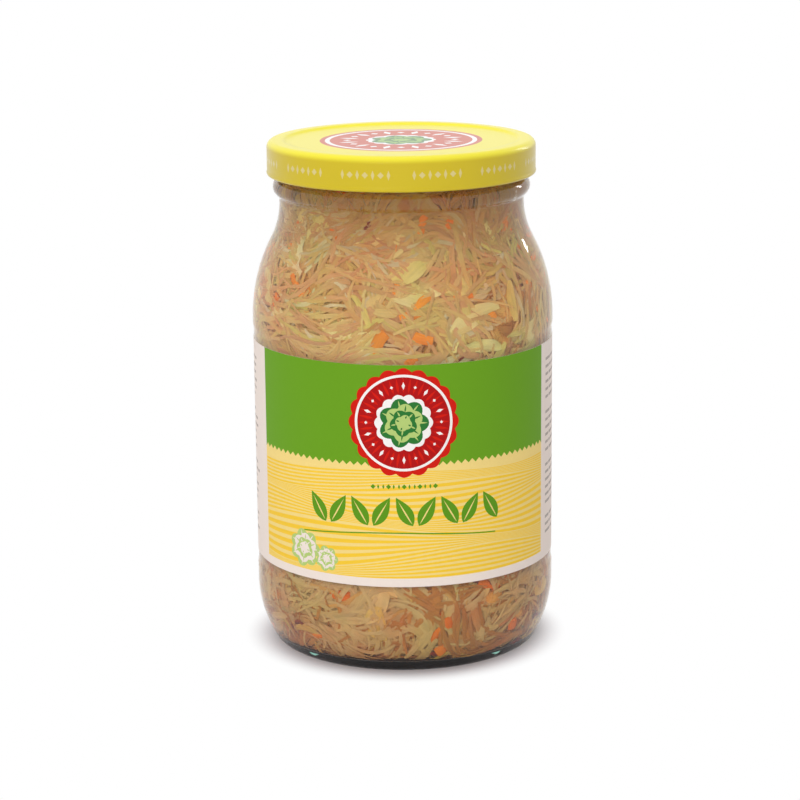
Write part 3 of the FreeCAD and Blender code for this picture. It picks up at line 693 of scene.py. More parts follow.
# %% Cap sizes and prints
CAP_TOP, CAP = lid_high[2], 42.2
SHEET, CAP_SHOULDER, PANEL_DROP = 0.25, 2.2, 0.65
PANEL_PRINT, PANEL_EDGE, RING_INNER, RING_OUTER = 34.0, 36.1, 37.0, 40.0
CURL_AT, CURL_LEVEL, CURL_ROUND = 41.55, 151.8, 0.8
SKIRT_FOOT, SKIRT_HEAD = 153.0, 159.0
CAP_INKS = ["F6EA36", "CE5638", "FFFFFF", "3E7C34", "FFFCEC", "9CC460"]
LACQUER, CORAL, WHITE_INK, LEAF_INK, PALE, LIGHT_LEAF = range(len(CAP_INKS))
CAP_TURNS = 180


def rosette(centre, radius, dark, light, leaves=7):
    """A cut head of cabbage: rings of round leaves, each over the last, with pale ribs."""
    shapes = []
    for ring, (share, ink) in enumerate([(1.0, dark), (0.78, light), (0.55, dark), (0.34, light)]):
        edge = scallop(centre, radius * share, leaves - ring, radius * share * 0.22, 0.4 * ring)
        shapes.append((edge, ink))
        for k in range(leaves - ring):
            turn = 0.4 * ring + 2 * math.pi * k / (leaves - ring)
            way = np.array([math.cos(turn), math.sin(turn)])
            rib = leaf(centre + way * radius * share * 0.62, centre + way * radius * share * 1.04,
                       radius * 0.035, 6)
            shapes.append((rib, light if ink == dark else dark))
    return shapes


def panel_shapes():
    """A coral disc with a white ring, white lozenges round it and a rosette in the middle."""
    middle = np.zeros(2)
    shapes = [(oval(middle, 25.5, 25.5, 120), CORAL), (oval(middle, 23.9, 23.9, 120), WHITE_INK),
              (oval(middle, 22.4, 22.4, 120), CORAL)]
    for k in range(24):
        mark = lozenge((16.9, 0), 3.2 if k % 2 else 1.4, 1.2 if k % 2 else 1.3)
        shapes.append((spin(mark, middle, 2 * math.pi * k / 24), WHITE_INK))
    shapes.append((scallop(middle, 10.6, 16, 0.9), WHITE_INK))
    return shapes + rosette(middle, 8.8, LEAF_INK, LIGHT_LEAF)


def skirt_shapes():
    """Round the skirt, groups of small lozenges and dashes with a wider gap between groups."""
    shapes = []
    length, groups = 2 * math.pi * CAP, 12
    for group in range(groups):
        middle = length * (group + 0.5) / groups
        for k in range(-3, 4):
            place = (middle + 2.4 * k, 156.2)
            shapes.append((lozenge(place, 0.55 if k % 2 else 1.0, 1.5 if k % 2 else 1.0), PALE))
    return shapes


# %% Cap piece
def turned_cap():
    """The unprinted stretches as rings: rim ring and shoulder, then curl and the whole inside."""
    bend = (RING_OUTER, CAP_TOP - CAP_SHOULDER)
    meet = math.degrees(math.acos((CAP - CURL_AT) / CURL_ROUND))
    curl, inner = (CURL_AT, CURL_LEVEL), CURL_ROUND - SHEET
    top, panel = CAP_TOP - SHEET, CAP_TOP - PANEL_DROP
    upper = path([(PANEL_PRINT, panel)], [(PANEL_EDGE, panel)],
                 line((PANEL_EDGE, panel), (RING_INNER, CAP_TOP), 0.3),
                 line((RING_INNER, CAP_TOP), (RING_OUTER, CAP_TOP), 1.0),
                 arc(bend, CAP_SHOULDER, 90, 0, 0.25), [(CAP, SKIRT_HEAD)])
    lower = path([(CAP, SKIRT_FOOT)], arc(curl, CURL_ROUND, meet, meet - 250, 0.15),
                 arc(curl, inner, meet - 250, meet, 0.2), [(CAP - SHEET, CURL_LEVEL + 1.2)],
                 arc(bend, CAP_SHOULDER - SHEET, 0, 90, 0.4), [(RING_INNER, top)],
                 [(PANEL_EDGE + 0.1, panel - SHEET)], [(2.0, panel - SHEET)])
    return upper, lower


def make_cap():
    """Join the printed panel, the printed skirt and the turned stretches into one skin."""
    turns = np.linspace(0, 2 * math.pi, CAP_TURNS, endpoint=False)
    rim = np.stack([PANEL_PRINT * np.cos(turns), PANEL_PRINT * np.sin(turns)], 1)
    flat, panel, panel_inks = cut_sheet(rim, panel_shapes())
    level = CAP_TOP - PANEL_DROP
    on_panel = np.concatenate([flat, np.full((len(flat), 1), level)], 1)
    length = 2 * math.pi * CAP
    steps = np.linspace(0, length, CAP_TURNS + 1)
    frame_edge = np.concatenate([np.stack([steps, SKIRT_FOOT + 0 * steps], 1),
                                 np.stack([steps, SKIRT_HEAD + 0 * steps], 1)[::-1]])
    ruled = [np.array([(u, SKIRT_FOOT), (u, SKIRT_HEAD)]) for u in steps[1:-1]]
    flat, skirt, skirt_inks = cut_sheet(frame_edge, skirt_shapes(), ruled)
    angle = flat[:, 0] / CAP
    on_skirt = np.stack([CAP * np.cos(angle), CAP * np.sin(angle), flat[:, 1]], 1)
    upper, lower = turned_cap()
    rings = [turn_profile(stretch, turns) for stretch in (upper, lower)]
    starts = np.cumsum([0, len(on_panel), len(on_skirt), rings[0].size // 3, rings[1].size // 3])
    points = np.concatenate([on_panel, on_skirt, rings[0].reshape(-1, 3), rings[1].reshape(-1, 3),
                             [[0, 0, level - SHEET]]])
    first, last = rings[0].shape[0], rings[1].shape[0]
    j = np.arange(CAP_TURNS)
    edge = starts[3] + (last - 1) * CAP_TURNS
    under = np.stack([edge + j, edge + (j + 1) % CAP_TURNS, np.full(CAP_TURNS, starts[4])], 1)
    blocks = [panel, skirt + starts[1], grid_faces(first, CAP_TURNS)[:, ::-1] + starts[2],
              grid_faces(last, CAP_TURNS)[:, ::-1] + starts[3], under[:, ::-1]]
    cap = new_piece("cap_pressing", points, blocks, lacquered_tinplate(), 50)
    store_inks(cap, 0, np.concatenate([panel_inks, skirt_inks]), CAP_INKS)
    weld(cap)
    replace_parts(cap, "lid")


make_cap()

# %% [markdown]
# The label is coated paper, 0.12 mm thick, glued round the jar with a lap at the back. Its print
# is fields of flat colour: green over yellow with a pinked edge, furrowed hills, a round seal
# with a cut cabbage, a row of leaves in place of a title, and cream ends with grey rules. It is
# cut flat, in millimetres of the real sheet, because that is how a label is laid out.

# %% Label sizes and inks
LABEL_BASE, PAPER = BODY - RECESS, 0.12
LABEL_FOOT, LABEL_TALL = label_low[2], label_high[2] - label_low[2]
LABEL_MID = LABEL_BASE + PAPER
HALF_WRAP = math.pi * LABEL_MID
LAP = math.radians(9) * LABEL_MID
PANEL_HALF, STRIP, FIELD_FOOT = 54.0, 2.7, 39.0
FURROWS, TEETH = 6, 45
LABEL_INKS = ["F6EADE", "FBE08A", "FCD03C", "6CA41F", "D61E10", "B51414", "FBF9F4", "2F7A36",
              "B9D37A", "B8AEA4", "5F9A1E"]
(CREAM, STRAW, GOLD, GREEN, RED, DEEP_RED, WHITE, DARK_GREEN, LIGHT_GREEN, GREY,
 TITLE_GREEN) = range(len(LABEL_INKS))


# %% Print of the label
def field_shapes():
    """Yellow field with furrowed hills below, green field with a pinked edge above."""
    wide = np.linspace(-PANEL_HALF, PANEL_HALF, 61)
    shapes = [(ribbon(wide[[0, -1]], STRIP, FIELD_FOOT + 1), STRAW)]
    crests = [STRIP + 0 * wide,
              8 + 4.0 * np.sin(wide / 21 + 0.4),
              16.5 + 3.8 * np.sin(wide / 26 + 2.6),
              24 + 3.0 * np.sin(wide / 18 + 4.4),
              31 + 2.5 * np.sin(wide / 23 + 0.8),
              36.5 + 1.0 * np.sin(wide / 15 + 2.0)]
    for low, high in zip(crests[:-1], crests[1:]):
        for k in range(FURROWS):
            shapes.append((ribbon(wide, low + (high - low) * (k + 0.1) / FURROWS,
                                  low + (high - low) * (k + 0.62) / FURROWS), GOLD))
    teeth = np.linspace(-PANEL_HALF, PANEL_HALF, 2 * TEETH + 1)
    edge = FIELD_FOOT - 0.6 + 1.2 * (np.arange(len(teeth)) % 2)
    shapes.append((ribbon(teeth, edge, LABEL_TALL), GREEN))
    return shapes


def seal_shapes(centre=(0.0, 52.0)):
    """A red seal with a scalloped edge, rays, a white ring, dots and a cut cabbage."""
    centre = np.array(centre)
    shapes = [(scallop(centre, 16.6, 20, 1.1), RED), (oval(centre, 15.1, 15.1, 96), WHITE),
              (oval(centre, 14.3, 14.3, 96), DEEP_RED)]
    for k in range(40):
        ray = leaf(centre + (9.4, 0), centre + (14.1, 0), 0.42, 6)
        shapes.append((spin(ray, centre, 2 * math.pi * k / 40), RED))
    for k in range(20):
        dot = lozenge(centre + (11.6, 0), 0.5 + 0.7 * (k % 2), 0.5)
        shapes.append((spin(dot, centre, 2 * math.pi * k / 20), WHITE))
    shapes.append((scallop(centre, 8.6, 14, 0.8), WHITE))
    return shapes + rosette(centre, 7.0, DARK_GREEN, LIGHT_GREEN)


def title_shapes():
    """A row of leaves in place of a title, small marks over it and a curved rule under it."""
    shapes = []
    for k in range(-6, 7):
        shapes.append((lozenge((1.6 * k, 32.0), 0.35 if k % 3 else 0.8, 0.8), TITLE_GREEN))
    for k in range(9):
        u, lean = -28 + 7 * k, 2.6 if k % 2 else -2.6
        foot, tip = (u - lean, 19.5), (u + lean, 28.6)
        shapes.append((leaf(foot, tip, 2.3), TITLE_GREEN))
        shapes.append((leaf((u - 0.9 * lean, 20.0), (u + 0.75 * lean, 27.4), 0.22), STRAW))
    u = np.linspace(-34, 30, 41)
    curve = 15.6 + 1.5 * np.cos((u + 4) / 16)
    shapes.append((ribbon(u, curve, curve + 0.4), TITLE_GREEN))
    heads = [((-34, 9.5), 5.6), ((-25.5, 7.4), 3.8)]
    for centre, radius in heads:
        shapes += rosette(np.array(centre), radius, LIGHT_GREEN, CREAM)
    return shapes


def side_shapes(seed=5):
    """Grey rules of uneven length in two columns on each cream end."""
    draw = np.random.default_rng(seed)
    shapes = []
    for left in (58.0, 92.0, -140.0, -102.0, -82.0):
        wide = 26.0 if abs(left) > 85 else 20.0
        for row in range(24):
            if row % 7 == 6:
                continue
            v = 64 - 2.45 * row
            end = left + wide * draw.uniform(0.72, 1.0)
            word = left
            while word < end - 2:
                stop = min(word + draw.uniform(2.0, 6.5), end)
                shapes.append((ribbon([word, stop], v, v + 0.9), GREY))
                word = stop + 0.8
    return shapes


# %% Coated paper and the label piece
def coated_paper():
    """Coated label paper: wood pulp under a clay coat, offset printed, with a faint felt."""
    material, tree = new_material("coated_label_paper")
    place = object_place(tree)
    ink = node(tree, "ShaderNodeAttribute", attribute_name="ink").outputs["Color"]
    fibre = node(tree, "ShaderNodeTexNoise",
                 {"Vector": place, "Scale": 1000 / 0.8, "Detail": 3.0, "Roughness": 0.7})
    shade = node(tree, "ShaderNodeMapRange", {"Value": fibre, "From Min": 0.3, "From Max": 0.7,
                                              "To Min": 0.97, "To Max": 1.0})
    felt = node(tree, "ShaderNodeMix", {0: 1.0, 6: ink, 7: shade}, data_type="RGBA",
                blend_type="MULTIPLY").outputs[2]
    normal = node(tree, "ShaderNodeBump", {"Height": fibre, "Distance": 0.01 * MM,
                                           "Strength": 0.4})
    paper = node(tree, "ShaderNodeBsdfPrincipled", {
        "Base Color": felt, "Roughness": 0.55, "IOR": 1.45, "Normal": normal,
        "Specular IOR Level": 0.15})
    node(tree, "ShaderNodeOutputMaterial", {"Surface": paper})
    return material


def make_label():
    """Cut the printed sheet, bend it round the jar with its lap at the back, give it its back."""
    first, last = -HALF_WRAP, HALF_WRAP + LAP
    steps = np.linspace(first, last, 241)
    edge = np.concatenate([np.stack([steps, 0 * steps], 1),
                           np.stack([steps, LABEL_TALL + 0 * steps], 1)[::-1]])
    ruled = [np.array([(u, 0.0), (u, LABEL_TALL)]) for u in steps[1:-1]]
    shapes = field_shapes() + title_shapes() + seal_shapes() + side_shapes()
    flat, front, inks = cut_sheet(edge, shapes, ruled)
    u, v = flat.T
    turn = u / LABEL_MID - math.pi / 2
    lift = PAPER * smooth_step(u, HALF_WRAP - 3.0, HALF_WRAP - 0.5)
    skins = []
    for depth in (0.0, PAPER):
        radius = LABEL_MID + lift - depth
        skins.append(np.stack([radius * np.cos(turn), radius * np.sin(turn), LABEL_FOOT + v], 1))
    rim = np.concatenate([np.sort(front[:, [a, b]], 1) for a, b in ((0, 1), (1, 2), (2, 0))])
    around = np.concatenate([front[:, [a, b]] for a, b in ((0, 1), (1, 2), (2, 0))])
    _, spot, times = np.unique(rim, axis=0, return_index=True, return_counts=True)
    open_edge = around[spot[times == 1]]
    count = len(flat)
    side = np.stack([open_edge[:, 1], open_edge[:, 0], open_edge[:, 0] + count,
                     open_edge[:, 1] + count], 1)
    points = np.concatenate(skins)
    blocks = [front, front[:, ::-1] + count, side]
    label = new_piece("wrap_label", points, blocks, coated_paper(), 40)
    store_inks(label, 0, inks, LABEL_INKS)
    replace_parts(label, "label")


make_label()

# %% [markdown]
# The sealing ring is poured into the cap as soft plastisol and set in the oven: off-white, dull
# and rubbery. It could be turned again like the glass, but its solid already has its true shape,
# so it only needs its finish.


# %% Sealing compound
def plastisol():
    """Plastisol, a soft vinyl paste set by heat: off-white, dull, with fine pores."""
    material, tree = new_material("plastisol_sealing_compound")
    pores = node(tree, "ShaderNodeTexNoise", {"Vector": object_place(tree), "Scale": 1000 / 0.6})
    normal = node(tree, "ShaderNodeBump", {"Height": pores, "Distance": 0.03 * MM})
    soft = node(tree, "ShaderNodeBsdfPrincipled", {
        "Base Color": linear("E9E6DA"), "Roughness": 0.6, "IOR": 1.5, "Normal": normal})
    node(tree, "ShaderNodeOutputMaterial", {"Surface": soft})
    return material


sealing_ring = bpy.data.objects["sealing_ring"]
sealing_ring.data.materials.clear()
sealing_ring.data.materials.append(plastisol())

# %% [markdown]
# Sauerkraut is cabbage cut across the leaves into long flat shreds, which go into the jar in
# tangled bundles and press flat on the glass. Dropping them in by simulation would fill the
# middle, which nobody sees. So shreds are laid along the inside of the wall: the wall's own curve
# gives a way along it, and a slow swirling field of directions turns the bundles. Depth into the
# jar is measured square to the wall, so nothing comes through the glass.

# %% The wall as a surface to lay shreds on
WALL_LINE = path(inner_path(), line((BORE, NECK_LEVEL), (BORE, BRINE_LEVEL + 1), 1.5))
RUN = np.concatenate([[0], np.cumsum(np.linalg.norm(np.diff(WALL_LINE, axis=0), axis=1))])
SLOPE = np.gradient(WALL_LINE, RUN, axis=0)
SLOPE /= np.linalg.norm(SLOPE, axis=1)[:, None]
CORE_DEPTH = 2.6


def wall_at(run):
    """Radius, height, and outward normal (height's slope, minus radius's) at a way up the wall."""
    return [np.interp(run, RUN, column) for column in
            (WALL_LINE[:, 0], WALL_LINE[:, 1], SLOPE[:, 1], -SLOPE[:, 0])]


def run_at(height):
    """The way up the wall at a height above the bottom corner."""
    corner = np.argmin(WALL_LINE[:, 1])
    return np.interp(height, WALL_LINE[corner:, 1], RUN[corner:])


def swirl(run, turn, draw_seed=11):
    """Direction of lie: a sum of slow waves along the wall and round it."""
    draw = np.random.default_rng(draw_seed)
    lie = 0.15 * np.ones_like(run)
    for _ in range(9):
        around, up = draw.integers(1, 9), draw.uniform(-0.16, 0.16)
        lie = lie + draw.uniform(0.15, 0.4) * np.sin(around * turn + up * run
                                                     + draw.uniform(0, 6.3))
    return lie


# %% [markdown]
# A hair system or an instancer would scatter copies, but cut shreds are all unlike, so each one
# is its own mesh. A bundle gets a place, a direction and a bend, and its strands run side by side
# with it. A strand walks along the wall in short steps, each turned by the swirl where it is. All
# strands are worked out together, as one array of strands by steps.

# %% Paths of strands
LEAN_WITHIN, BEND, BEND_WITHIN = 0.09, 0.06, 0.02
STAGGER, DEEP_WITHIN, SWAY = 5.0, 0.10, 0.7
HEEL_SHARE, RIM_ROOM, SLOWING = 0.08, 2.0, 8.0
FILM = 0.25


def place_bundles(draw, bundles, per_bundle, zones, loose):
    """For each strand, its bundle's way up the wall and turn, and its own lean and bend."""
    share = np.array([zone[2] for zone in zones])
    zone = draw.choice(len(zones), bundles, p=share / share.sum())
    low, high = (np.array([z[k] for z in zones])[zone] for k in (0, 1))
    run = run_at(draw.uniform(low, high))
    turn = draw.uniform(0, 2 * math.pi, bundles)
    count = bundles * per_bundle
    lean = np.repeat(draw.normal(0, loose, bundles), per_bundle)
    lean = lean + draw.normal(0, LEAN_WITHIN, count)
    bend = np.repeat(draw.normal(0, BEND, bundles), per_bundle)
    bend = bend + draw.normal(0, BEND_WITHIN, count)
    return np.repeat(run, per_bundle), np.repeat(turn, per_bundle), lean, bend


def walk_strands(run, turn, lean, bend, long, steps):
    """Each step moves by sin(lie) up the wall and by cos(lie) round it; climbs slow at the ends."""
    floor_run, top_run = RUN[-1] * HEEL_SHARE, RUN[-1] - RIM_ROOM
    step = long / steps
    runs, turns = [run], [turn]
    for k in range(steps):
        lie = swirl(run, turn) + lean + bend * step * (k - steps / 2)
        radius = wall_at(run)[0]
        rise = np.sin(lie)
        room = np.where(rise > 0, top_run - run, run - floor_run)
        run = run + step * rise * smooth_step(room, 0.0, SLOWING)
        turn = turn + step * np.cos(lie) / np.maximum(radius - 2, 6)
        runs.append(run)
        turns.append(turn)
    return np.clip(np.stack(runs, 1), floor_run, top_run), np.stack(turns, 1)


def strand_axes(run, turn, sunk):
    """Spines sunk square to the wall, with their sideways and outward directions."""
    radius, height, out_r, out_z = wall_at(run)
    at_r, at_z = radius - sunk * out_r, height - sunk * out_z
    spine = np.stack([at_r * np.cos(turn), at_r * np.sin(turn), at_z], -1)
    normal = np.stack([out_r * np.cos(turn), out_r * np.sin(turn), out_z], -1)
    way = np.gradient(spine, axis=1)
    way /= np.linalg.norm(way, axis=2, keepdims=True) + 1e-9
    side = np.cross(normal, way)
    side /= np.linalg.norm(side, axis=2, keepdims=True) + 1e-9
    return spine, side, normal


# %% [markdown]
# Round each spine goes a section: a flat diamond or a lens, wide along the wall and thin across
# it, tapered at its ends, with a slow twist. Leaves ripple across their width as well. A knife
# leaves sharp edges, so the two outer edges of a section are shaded sharp, and a shred looks flat
# and cut where a fully smooth one would look like a noodle.


# %% Laying shreds
def lay_shreds(seed, bundles, per_bundle, zones, length, wide, thick, depth, sides=4, steps=9,
               spread=0.5, loose=0.35, blunt=0.35, ripple=0.0, twist=0.9):
    """Points and faces of a kind, with strand numbers, grain places and bundle numbers."""
    draw = np.random.default_rng(seed)
    count = bundles * per_bundle
    run, turn, lean, bend = place_bundles(draw, bundles, per_bundle, zones, loose)
    long, broad, fat = (draw.uniform(*span, count) for span in (length, wide, thick))
    across = draw.normal(0, 1, count) * per_bundle * np.mean(wide) * spread * 0.5
    along = draw.normal(0, STAGGER, count) - long / 2
    deep = np.repeat(draw.uniform(0, 1, bundles) ** 1.3, per_bundle)
    deep = deep + draw.normal(0, DEEP_WITHIN, count)
    lie = swirl(run, turn) + lean
    radius = wall_at(run)[0]
    run = run + across * np.cos(lie) + along * np.sin(lie)
    turn = turn + (-across * np.sin(lie) + along * np.cos(lie)) / radius
    run, turn = walk_strands(run, turn, lean, bend, long, steps)
    t = np.linspace(0, 1, steps + 1)
    sway = draw.normal(0, SWAY, (count, 1)) * np.cos(
        math.pi * t * draw.uniform(0.6, 2.2, (count, 1)) + draw.uniform(0, 6.3, (count, 1)))
    nearest = FILM + 0.5 * fat[:, None] + 0.3 * ripple
    sunk = nearest + np.abs(np.clip(deep, 0, 1)[:, None] * depth + sway)
    spine, side, normal = strand_axes(run, turn, sunk)
    roll = draw.normal(0, twist * 0.5, (count, 1)) + draw.normal(0, twist, (count, 1)) * (t - 0.5)
    flat = np.cos(roll)[..., None] * side + np.sin(roll)[..., None] * normal
    rise = -np.sin(roll)[..., None] * side + np.cos(roll)[..., None] * normal
    taper = np.clip(np.sin(math.pi * np.clip(t, 0.03, 0.97)), 0, 1) ** blunt
    corner = 2 * math.pi * np.arange(sides) / sides
    wave = ripple * np.sin(2 * math.pi * (t * draw.uniform(1, 2.5, (count, 1))
                                          + draw.uniform(0, 1, (count, 1))))
    u = np.cos(corner) * (taper * broad[:, None] / 2)[..., None]
    w = np.sin(corner) * (taper * fat[:, None] / 2)[..., None]
    w = w + wave[..., None] * np.cos(corner) ** 2 * np.sign(np.cos(corner))
    points = spine[:, :, None] + u[..., None] * flat[:, :, None] + w[..., None] * rise[:, :, None]
    first = np.arange(count)[:, None, None] * (steps + 1) * sides
    quads = grid_faces(steps + 1, sides)[None] + first
    ends = np.stack([np.arange(sides), steps * sides + np.arange(sides)[::-1]])[None] + first
    shape = points.shape[:3]
    grain = np.stack([np.broadcast_to(u, shape),
                      np.broadcast_to((t * long[:, None])[..., None] * 0.12, shape),
                      np.broadcast_to(np.arange(count)[:, None, None] * 1.7, shape)], -1)
    strand = np.repeat(np.arange(count), (steps + 1) * sides)
    return (points.reshape(-1, 3), [quads.reshape(-1, 4), ends.reshape(-1, sides)],
            strand, grain.reshape(-1, 3), np.repeat(np.arange(bundles), per_bundle))


def shred_colours(seed, codes, weights, strands, bundle_of, alike=0.6, vary=0.06):
    """A colour for each strand: its bundle's with chance alike, otherwise its own, both varied."""
    draw = np.random.default_rng(seed)
    palette = np.array([linear(code) for code in codes])
    chance = np.array(weights, float) / sum(weights)
    shared = draw.choice(len(codes), bundle_of.max() + 1, p=chance)[bundle_of]
    own = draw.choice(len(codes), len(bundle_of), p=chance)
    pick = palette[np.where(draw.uniform(0, 1, len(own)) < alike, shared, own)].copy()
    pick[:, :3] *= 1 + draw.normal(0, vary, (len(own), 1)) + draw.normal(0, vary / 3, (len(own), 3))
    return np.clip(pick, 0, 1)[strands]


# %% [markdown]
# Fermented cabbage is wet and half translucent: pale, with fine fibres along each shred. In brine
# it hardly shines, because water and cell walls bend light alike. Scattering under the surface
# would lose its light inside so thin a shred, so the body of each kind is below 1 instead, and
# the shreds behind show through. The fibres are a noise that is stretched along the strand by an
# attribute which runs across and along it in millimetres.


# %% Wet vegetable finishes
def patches_and_painted_shade(tree, colour):
    """The colour in patches from pink to straw, 16 mm wide, times a painted shade by height: darker
    at the heel and browner in the neck, under the cap.
    """
    place = object_place(tree)
    patch = node(tree, "ShaderNodeTexNoise", {"Vector": place, "Scale": 1000 / 16, "Detail": 2.0})
    height = node(tree, "ShaderNodeSeparateXYZ", {0: place}).outputs["Z"]
    share = node(tree, "ShaderNodeMapRange", {"Value": height, "From Max": jar_high[2] * MM})
    # Painted shade by height: over Z, the ramp is dark tan at the heel, palest at mid height, and
    # brown in the neck, where the cap shades the shreds.
    for value, stops in ((patch, [(0.36, "FFE0C8"), (0.50, "FFF2DE"), (0.64, "FAF6D0")]),
                         (share, [(0.0, "E4BC86"), (0.22, "F4D4A6"), (0.55, "FFF7E2"),
                                  (0.80, "FBEBCC"), (0.92, "C09450")])):
        ramp = node(tree, "ShaderNodeValToRGB", {0: value})
        for _ in stops[2:]:
            ramp.color_ramp.elements.new(0.5)
        for stop, (position, code) in zip(ramp.color_ramp.elements, stops):
            stop.position = position
            stop.color = linear(code)
        colour = node(tree, "ShaderNodeMix", {0: 1.0, 6: colour, 7: ramp}, data_type="RGBA",
                      blend_type="MULTIPLY").outputs[2]
    return colour


def wet_vegetable(name, fibre_mm, contrast, body=1.0, roughness=0.45):
    """Cabbage or carrot, cut, salted and soured in its brine: fibres in mm, body out of 1."""
    material, tree = new_material(name)
    tint = node(tree, "ShaderNodeAttribute", attribute_name="tint").outputs["Color"]
    grain = node(tree, "ShaderNodeAttribute", attribute_name="grain").outputs["Vector"]
    fibre = node(tree, "ShaderNodeTexNoise",
                 {"Vector": grain, "Scale": 1 / fibre_mm, "Detail": 2.0, "Roughness": 0.6})
    shade = node(tree, "ShaderNodeMapRange", {
        "Value": fibre, "From Min": 0.3, "From Max": 0.7, "To Min": 1 - contrast, "To Max": 1.05})
    # Here the strand's colour gets the painted shade by height.
    colour = patches_and_painted_shade(tree, node(tree, "ShaderNodeMix", {0: 1.0, 6: tint, 7: shade},
                                data_type="RGBA", blend_type="MULTIPLY").outputs[2])
    normal = node(tree, "ShaderNodeBump", {"Height": fibre, "Distance": 0.06 * MM,
                                           "Strength": 0.3})
    flesh = node(tree, "ShaderNodeBsdfPrincipled", {
        "Base Color": colour, "Roughness": roughness, "IOR": 1.38, "Specular IOR Level": 0.1,
        "Alpha": body, "Normal": normal})
    node(tree, "ShaderNodeOutputMaterial", {"Surface": flesh})
    return material


# %% Shreds, scraps and carrot
ABOVE, BELOW, BEHIND = (94.0, 156.0, 10.0), (3.2, 34.0, 5.5), (34.0, 94.0, 1.5)
ZONES = [ABOVE, BELOW, BEHIND]
IN_NECK, AT_HEEL = (134.0, 154.0, 4.0), (3.2, 12.0, 4.0)
LOW_BITS, HIGH_BITS = (12.0, 34.0, 0.6), (94.0, 150.0, 0.8)
KNIFE_EDGE = 50
CABBAGE = ["FFEABC", "FCE0AC", "F8D0AC", "F6F0AC", "FFFCF0", "E4B680", "F0C4A8"]
CABBAGE_MIX = [5, 4, 3, 3, 7, 3, 2]


def add_shreds(name, material, codes, mix, seed, alike=0.6, vary=0.05, **lay):
    """Lay one kind, colour its strands and store what its material reads."""
    points, blocks, strand, grain, bundle_of = lay_shreds(seed, **lay)
    piece = new_piece(name, points, blocks, material, KNIFE_EDGE)
    store(piece, "tint", "FLOAT_COLOR", "POINT",
          shred_colours(seed, codes, mix, strand, bundle_of, alike, vary))
    store(piece, "grain", "FLOAT_VECTOR", "POINT", grain)
    return piece


cabbage = wet_vegetable("brined_cabbage", 0.35, 0.12, 0.58)
for index in range(2):
    add_shreds(f"fine_shreds_{index + 1}", cabbage, CABBAGE, CABBAGE_MIX, 20 + index,
               bundles=160, per_bundle=19, zones=ZONES, length=(12, 34), wide=(0.7, 1.8),
               thick=(0.10, 0.22), depth=2.2, loose=0.8, steps=7, twist=0.25, alike=0.8,
               blunt=0.25, spread=0.35, vary=0.06)
add_shreds("broad_shreds", wet_vegetable("brined_cabbage_rib", 0.5, 0.16, 0.66),
           CABBAGE, CABBAGE_MIX, 34, bundles=260, per_bundle=5, zones=ZONES, length=(7, 20),
           wide=(1.6, 3.6), thick=(0.25, 0.5), depth=1.7, loose=0.9, sides=6, steps=8,
           twist=0.3, blunt=0.4, ripple=0.2, alike=0.7, spread=0.4, vary=0.06)
add_shreds("leaf_scraps", wet_vegetable("brined_leaf", 0.8, 0.12, 0.85),
           ["FCF8CC", "F6F0B8", "FFFCE8"], [3, 2, 2], 43, bundles=96, per_bundle=1,
           zones=ZONES + [IN_NECK], length=(9, 24), wide=(4.0, 10.0), thick=(0.4, 0.7), depth=0.4,
           sides=10, steps=14, blunt=0.6, ripple=0.6, twist=0.2, loose=0.8)
add_shreds("carrot_shreds", wet_vegetable("brined_carrot", 0.5, 0.15),
           ["FFA444", "FA9434", "FFB462"], [3, 2, 1], 51, bundles=160, per_bundle=1,
           zones=ZONES + [IN_NECK], length=(2.5, 8), wide=(2.0, 4.2), thick=(0.8, 1.3), depth=1.0,
           sides=6, steps=5, blunt=0.06, twist=0.3, loose=1.0)
add_shreds("dark_bits", wet_vegetable("browned_bits", 0.4, 0.3),
           ["8E3A2C", "9A4A30", "A05A38"], [2, 1, 1], 61, bundles=22, per_bundle=1,
           zones=[AT_HEEL, LOW_BITS, HIGH_BITS], length=(3, 9),
           wide=(1.2, 3.6), thick=(0.4, 0.8), depth=1.0, sides=6, steps=5, blunt=0.4)

# %% [markdown]
# Behind the shreds lies the rest of the heap. Shreds all the way through would be a hundred times
# as many, and none would be seen. So it is one lumpy body, set as deep as the shreds reach, in the
# tan of shreds in deep brine, with streaks at the width of a shred.


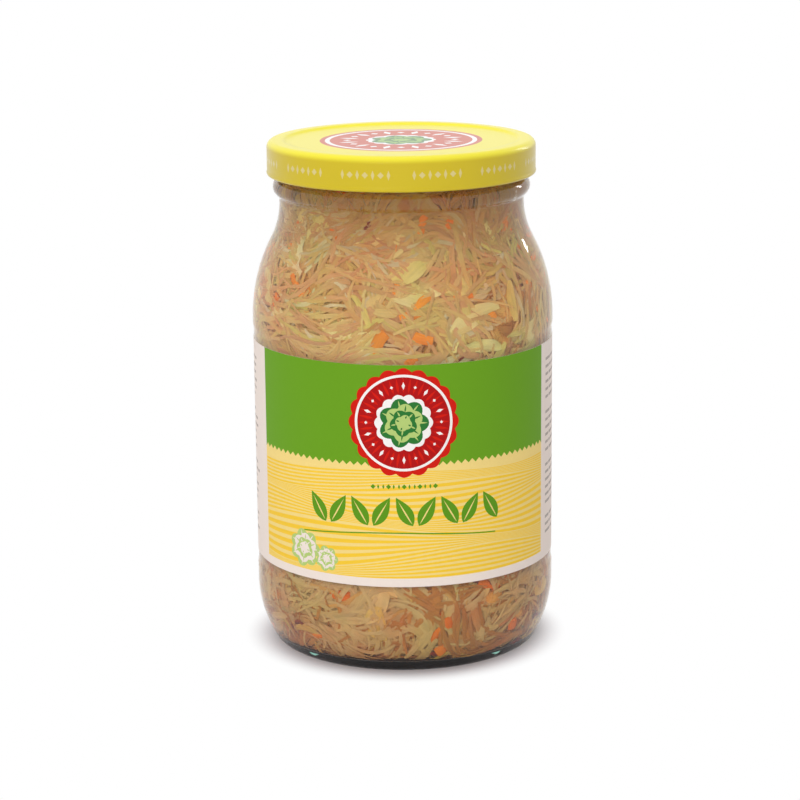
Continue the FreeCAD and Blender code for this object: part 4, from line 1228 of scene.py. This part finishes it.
# %% Core of the heap
def packed_heap():
    """Soured cabbage pressed in a heap and seen deep in brine: tan, streaked and mottled."""
    material, tree = new_material("packed_cabbage_heap")
    place = object_place(tree)
    swirl_noise = node(tree, "ShaderNodeTexNoise", {"Vector": place, "Scale": 1000 / 14,
                                                    "Detail": 1.0}).outputs["Color"]
    bent = node(tree, "ShaderNodeMix", {0: 0.03, 6: place, 7: swirl_noise},
                data_type="RGBA").outputs[2]
    streak = node(tree, "ShaderNodeTexNoise", {"Vector": bent, "Scale": 1000 / 2.2,
                                               "Detail": 4.0, "Roughness": 0.65})
    ramp = node(tree, "ShaderNodeValToRGB", {0: streak})
    ramp.color_ramp.elements[0].position = 0.32
    ramp.color_ramp.elements[0].color = linear("ECC48C")
    ramp.color_ramp.elements[1].position = 0.68
    ramp.color_ramp.elements[1].color = linear("F8DAA0")
    normal = node(tree, "ShaderNodeBump", {"Height": streak, "Distance": 0.6 * MM})
    # The heap's colour gets the same painted shade by height.
    flesh = node(tree, "ShaderNodeBsdfPrincipled", {
        "Base Color": patches_and_painted_shade(tree, ramp.outputs[0]), "Roughness": 0.6,
        "Specular IOR Level": 0.15, "Normal": normal})
    node(tree, "ShaderNodeOutputMaterial", {"Surface": flesh})
    return material


def make_core():
    """The wall's line moved inwards by a depth that varies with waves up and round the jar."""
    turns = np.linspace(0, 2 * math.pi, 180, endpoint=False)
    run = np.linspace(RUN[-1] * 0.03, RUN[-1] - 4, 150)
    radius, height, out_r, out_z = (column[:, None] for column in wall_at(run))
    lump = sum(np.sin(a * turns + b * run[:, None] + c) for a, b, c in
               [(7, 0.31, 0), (11, -0.43, 2), (17, 0.6, 4), (5, 0.77, 1), (23, -0.9, 3)])
    sunk = CORE_DEPTH + 0.35 * lump
    at_r, at_z = radius - sunk * out_r, height - sunk * out_z
    rings = np.stack([at_r * np.cos(turns), at_r * np.sin(turns), at_z + 0 * turns], -1)
    points, blocks = close_poles(rings, at_z[0].mean(), at_z[-1].mean() + 1)
    core = new_piece("heap_core", points, blocks, packed_heap())
    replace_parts(core, "sauerkraut")


make_core()
